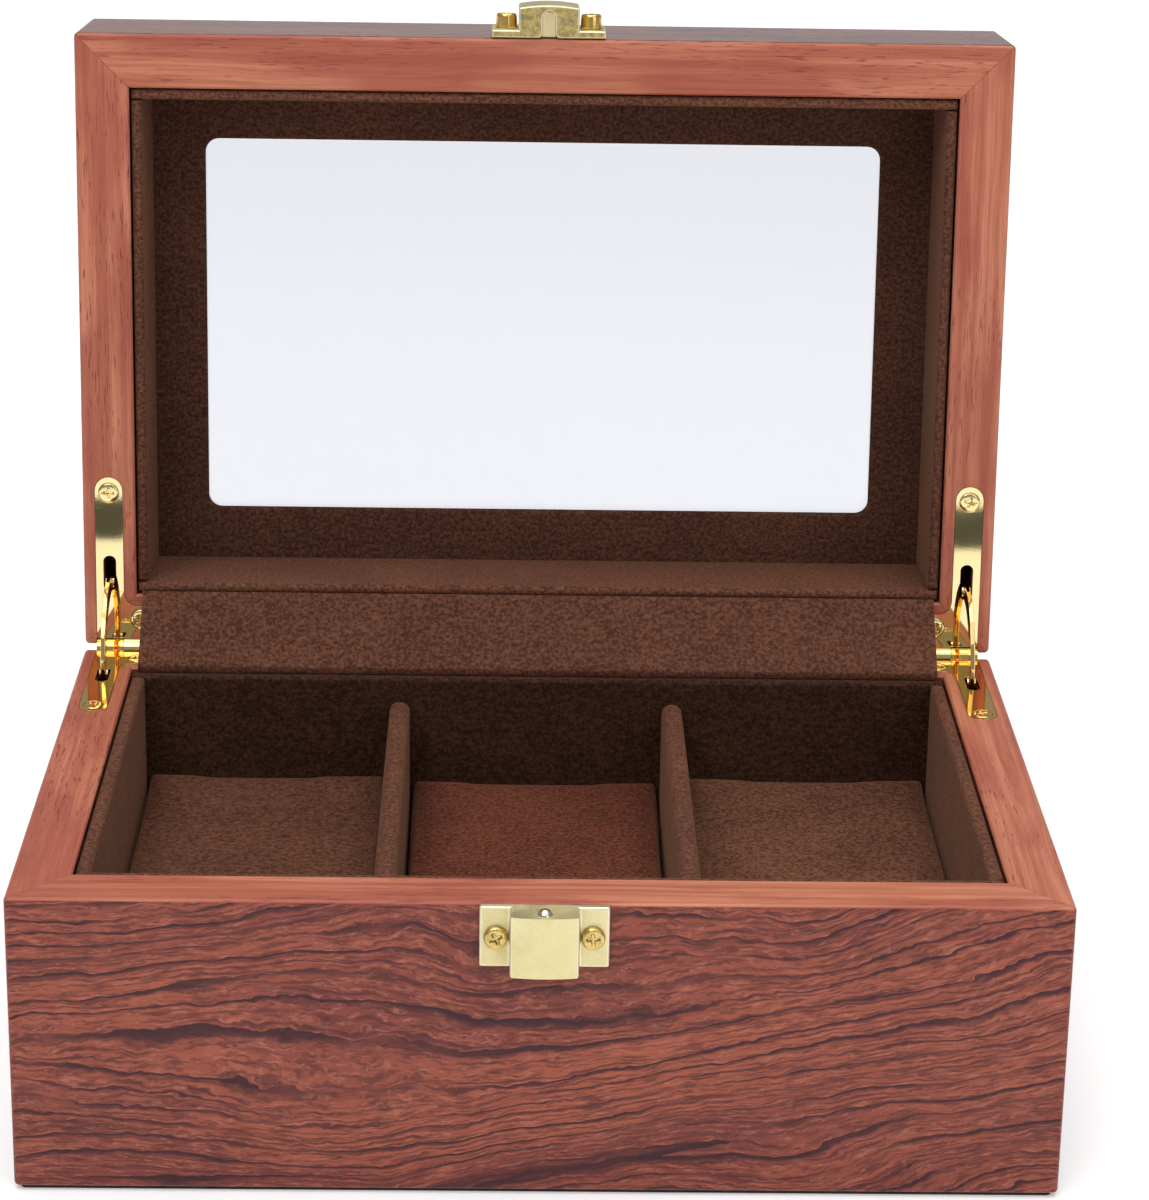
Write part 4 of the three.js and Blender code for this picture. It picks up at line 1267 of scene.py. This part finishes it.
@dataclass
class Fittings:
    """The stay hinges and the ball catch."""

    frame: Frame
    effects: Effects
    leaf_bevel: float = 0.22 * MM
    stay_bevel: float = 0.18 * MM
    wire: float = 0.22 * MM
    turns: int = 5

    # Each catch plate's bevel, and the length under which an edge of its holes stays as it is.
    PLATE_BEVELS = {"base": (0.45 * MM, 1.0 * MM), "lid": (0.34 * MM, 0.3 * MM)}
    FLUSH = ScrewHead(
        radius=2.1 * MM, dome=0.16 * MM, edge=0.10 * MM, under=1.0 * MM, length=6.4 * MM,
        cross_width=0.62 * MM, cross_reach=1.25 * MM, cross_depth=0.6 * MM, squareness=2, raised=False,
    )
    BASE_PAN = ScrewHead(
        radius=2.3 * MM, dome=1.0 * MM, edge=0.02 * MM, under=0.1 * MM, length=7.4 * MM,
        cross_width=0.7 * MM, cross_reach=1.4 * MM, cross_depth=0.6 * MM, squareness=10, raised=True,
    )
    LID_PAN = replace(BASE_PAN, dome=2.9 * MM, cross_depth=1.0 * MM, squareness=20)
    PANS = {"base": BASE_PAN, "lid": LID_PAN}
    PALE_GOLD = rgb(233, 215, 160)
    DEEP_GOLD = rgb(238, 198, 116)
    CREAM = rgb(224, 212, 162)
    BRASS = rgb(216, 190, 122)

    def gold(
        self, name: str, colour: Colour, rough: float, on_lid: bool = False, mottle: float = 0.0,
        shade_below: float | None = None,
    ) -> Plated:
        """Makes one gold plating, as the finish Plated says."""
        return Plated(self.frame, self.effects, name, colour, rough, on_lid, mottle, shade_below)

    def build(self) -> None:
        """Builds hinges, catch and screws; the lid catch plate's face below the rim takes painted shade."""
        rim = self.frame.drawn_box("catch_lid_plate")[0][2]
        polished = {
            "base": self.gold("polished_gold_base", self.DEEP_GOLD, 0.03),
            "lid": self.gold("polished_gold_lid", self.PALE_GOLD, 0.02, on_lid=True),
        }
        satin = {
            "base": self.gold("satin_gold_base", self.CREAM, 0.36, mottle=0.06),
            "lid": self.gold("satin_gold_lid", self.CREAM, 0.34, on_lid=True, mottle=0.85, shade_below=rim),
        }
        head = {
            "base": self.gold("screw_gold_base", self.BRASS, 0.2, mottle=0.5),
            "lid": self.gold("screw_gold_lid", self.DEEP_GOLD, 0.12, on_lid=True, mottle=0.1),
        }
        for side in ("left", "right"):
            for part in ("base", "lid"):
                up = Vector((0, 0, 1 if part == "base" else -1))
                self.part(f"{side}_hinge_{part}_leaf", self.leaf_bevel, polished[part], "polished_gold")
                for place in ("front", "corner"):
                    node = f"{side}_hinge_{part}_{place}_screw"
                    self.screw(node, self.FLUSH, polished[part], "polished_gold", up)
            self.part(f"{side}_stay_arm", self.stay_bevel, polished["base"], "polished_gold")
            dress(self.frame.nodes[f"{side}_hinge_pin"], polished["base"])
        for part in ("base", "lid"):
            bevel, shortest = self.PLATE_BEVELS[part]
            self.part(f"catch_{part}_plate", bevel, satin[part], "satin_gold", 3, shortest)
            for side in ("left", "right"):
                node = f"catch_{part}_{side}_screw"
                self.screw(node, self.PANS[part], head[part], "satin_gold", Vector((0, -1, 0)))
        self.ball()
        self.spring()

    def part(
        self, node: str, bevel: float, finish: Finish, slot: str, steps: int = 2, shortest: float = 0.0
    ) -> None:
        """Rounds a metal part's edges and plates it.

        Args:
            node: The node that it stands for.
            bevel: Width of the rounding.
            finish: Its plate.
            slot: The record's material slot.
            steps: Faces across each rounded edge.
            shortest: Edges shorter than this stay as they are.
        """
        piece = machined(f"{node}_plated", self.frame.nodes[node], bevel, steps, shortest)
        dress(piece, finish)
        settle(piece, self.frame.body_of(node), slot, node)

    def screw(self, node: str, shape: ScrewHead, finish: Finish, slot: str, facing: Vector) -> None:
        """Drives one screw where its node is, with its cross turned at random.

        Args:
            node: The node that it stands for.
            shape: The screw's shape.
            finish: Its plate.
            slot: The record's material slot.
            facing: Which way the head looks, with the lid shut.
        """
        low, high = self.frame.drawn_box(node)
        centre = (low + high) / 2
        towards = np.array(facing)
        face = centre + towards * (high - low) / 2 * np.abs(towards)
        crown = shape.dome if shape.raised else 0.0
        seat = face - towards * crown
        turn = np.random.default_rng([SEED, *node.encode()]).uniform(0, math.pi / 2)
        rotation = np.array(facing.to_track_quat("Z", "Y").to_matrix() @ Matrix.Rotation(turn, 3, "Z"))
        rings = shape.surface() @ rotation.T + seat
        body = self.frame.body_of(node)
        if body == "lid":
            rings = self.frame.opened(rings)
        piece = ring_mesh(f"{node}_turned", rings)
        dress(piece, finish)
        settle(piece, body, slot, node)

    def ball(self) -> None:
        """Builds the catch's steel ball, a sphere as rings of latitude."""
        low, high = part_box("catch_ball")
        centre, radius = np.array((low + high) / 2), (high.x - low.x) / 2
        pole = math.pi / 2 - 0.02
        latitude = np.linspace(-pole, pole, 40)[:, None]
        angle = np.linspace(0, 2 * math.pi, 64, endpoint=False)[None]
        across, up = radius * np.cos(latitude), radius * np.sin(latitude)
        rings = np.stack([across * np.cos(angle), across * np.sin(angle), up + 0 * angle], -1)
        piece = ring_mesh("catch_ball_polished", rings + centre)
        dress(piece, Plated(self.frame, self.effects, "ball_steel", rgb(214, 206, 186), 0.06))
        settle(piece, "ball", "ball_steel", "catch_ball")

    def spring(self) -> None:
        """Winds the catch's spring, a tube round a rising circle."""
        low, high = (np.array(corner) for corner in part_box("catch_spring"))
        wire, middle = self.wire, (low + high) / 2
        radius = (high[0] - low[0]) / 2 - wire
        turn = np.linspace(0, 2 * math.pi * self.turns, 48 * self.turns + 1)[:, None]
        rise = (high[2] - low[2] - 2 * wire) * turn / turn[-1]
        outwards = np.concatenate([np.cos(turn), np.sin(turn), 0 * turn], 1)
        line = (middle[0], middle[1], low[2] + wire) + radius * outwards + rise * (0, 0, 1)
        upwards = np.cross(outwards, np.gradient(line, axis=0))
        upwards /= np.linalg.norm(upwards, axis=1, keepdims=True)
        angle = np.linspace(0, 2 * math.pi, 10, endpoint=False)[None, :, None]
        skin = np.cos(angle) * outwards[:, None] + np.sin(angle) * upwards[:, None]
        piece = ring_mesh("catch_spring_wound", line[:, None] + wire * skin)
        dress(piece, Plated(self.frame, self.effects, "spring_steel", rgb(188, 190, 192), 0.28))
        settle(piece, "base", "spring_steel", "catch_spring")
        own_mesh(piece)


# ---------------------------------------------------------------- studio


@dataclass(frozen=True)
class Softbox:
    """A soft light: where it hangs, where it aims, how wide it is and how strong."""

    name: str
    place: tuple[float, float, float]
    aim: tuple[float, float, float]
    width: float
    power: float


@dataclass
class Studio:
    """A pale floor, soft light all round and the camera, which turns about a target at a distance."""

    azimuth: float = math.radians(-1.164)
    elevation: float = math.radians(19.422)
    roll: float = math.radians(1.007)
    distance: float = 718.698 * MM
    target: tuple[float, float, float] = (6.472 * MM, 0.0, 97.189 * MM)
    lens: float = 107.709
    film: float = 36.0
    surround: float = 0.33
    sky_strength: float = 1.3
    floor_reach: float = 8.0

    LIGHTS = (
        Softbox("key", (-0.55, -1.1, 1.5), (0, 0, 0.06), 1.0, 7.0),
        Softbox("fill", (0.9, -1.2, 0.7), (0, 0, 0.08), 0.9, 2.7),
        Softbox("overhead", (0.0, 0.25, 1.7), (0, 0, 0.05), 1.3, 9.0),
    )

    def build(self) -> None:
        """Builds floor, lights and camera, and sets how colours are shown."""
        self.floor()
        self.flag()
        for light in self.LIGHTS:
            self.light(light)
        self.sky()
        self.world()
        self.camera()
        bpy.context.scene.view_settings.view_transform = "Standard"

    def floor(self) -> None:
        """Lays a large plain pale floor."""
        reach = self.floor_reach
        corners = [(-reach, -reach, 0), (reach, -reach, 0), (reach, reach, 0), (-reach, reach, 0)]
        self.lay(
            "floor", corners, [(0, 1, 2, 3)], "pale_floor", Base_Color=(*rgb(250, 250, 251), 1),
            Roughness=0.9, Specular_IOR_Level=0.1, Emission_Color=(1, 1, 1, 1), Emission_Strength=0.2,
        )

    def flag(self) -> None:
        """Lays two dark cards well in front, either side of the middle, which only show as reflections."""
        near, far, inner, outer, height = -0.492, -0.606, 0.152, 0.32, 1.0 * MM
        card = ((inner, far), (outer, far), (outer, near), (inner, near))
        corners = [(side * x, y, height) for side in (-1, 1) for x, y in card]
        faces = [(0, 1, 2, 3), (7, 6, 5, 4)]
        flag = self.lay("flag", corners, faces, "black_card", Base_Color=(0.01, 0.012, 0.01, 1))
        flag.visible_camera = flag.visible_diffuse = flag.visible_transmission = flag.visible_shadow = False

    @staticmethod
    def lay(
        name: str, corners: Sequence[Sequence[float]], faces: Sequence[Sequence[int]], surface: str,
        **plain: float | Sequence[float],
    ) -> bpy.types.Object:
        """Lays something flat that belongs to the stage.

        Args:
            name: Its name.
            corners: Its corners.
            faces: Each face's corners.
            surface: Its material's name.
            plain: The material's constant values, as Finish.start takes them.

        Returns:
            The object.
        """
        mesh = bpy.data.meshes.new(name)
        mesh.from_pydata(corners, [], faces)
        flat = bpy.data.objects.new(name, mesh)
        bpy.context.scene.collection.objects.link(flat)
        finish = Finish()
        finish.start(surface, **plain)
        dress(flat, finish)
        flat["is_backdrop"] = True
        return flat

    @staticmethod
    def light(box: Softbox) -> None:
        """Hangs one square soft light, aimed at its point."""
        data = bpy.data.lights.new(box.name, "AREA")
        data.size = box.width
        data.energy = box.power
        lamp = bpy.data.objects.new(box.name, data)
        lamp.location = box.place
        lamp.rotation_euler = (Vector(box.aim) - Vector(box.place)).to_track_quat("-Z", "Y").to_euler()
        bpy.context.scene.collection.objects.link(lamp)

    def sky(self) -> None:
        """Adds an even light from above, so that the floor is as pale far off as it is near."""
        data = bpy.data.lights.new("sky", "SUN")
        data.energy = self.sky_strength
        data.angle = math.radians(80)
        lamp = bpy.data.objects.new("sky", data)
        lamp.rotation_euler = (math.radians(12), 0, 0)
        bpy.context.scene.collection.objects.link(lamp)

    def world(self) -> None:
        """Makes the even white surround."""
        world = bpy.data.worlds.new("surround")
        world.use_nodes = True
        background = world.node_tree.nodes["Background"]
        background.inputs["Color"].default_value = (1, 1, 1, 1)
        background.inputs["Strength"].default_value = self.surround
        bpy.context.scene.world = world

    def camera(self) -> None:
        """Sets up the camera: forward by azimuth and elevation, then rolled about that line."""
        data = bpy.data.cameras.new("camera")
        data.lens = self.lens
        data.sensor_width = self.film
        data.clip_start, data.clip_end = 0.01, 50.0
        flat = math.cos(self.elevation)
        forward = Vector(
            (math.sin(-self.azimuth) * flat, math.cos(self.azimuth) * flat, -math.sin(self.elevation))
        )
        right = forward.cross(Vector((0, 0, 1))).normalized()
        up = right.cross(forward)
        across = math.cos(self.roll) * right + math.sin(self.roll) * up
        upward = -math.sin(self.roll) * right + math.cos(self.roll) * up
        turn = Matrix((across, upward, -forward)).transposed().to_4x4()
        camera = bpy.data.objects.new("camera", data)
        camera.matrix_world = Matrix.Translation(Vector(self.target) - forward * self.distance) @ turn
        bpy.context.scene.collection.objects.link(camera)
        bpy.context.scene.camera = camera


def main() -> None:
    """Builds the box's looks."""
    logging.basicConfig(level=logging.INFO, format="%(message)s")
    frame = Frame()
    Studio().build()
    effects = Effects()
    for assembly in (Carcass, Linings, Cushions, Fittings):
        assembly(frame, effects).build()
    dress(frame.nodes["glass_pane"], Pane(frame))


if __name__ == "__main__":
    main()
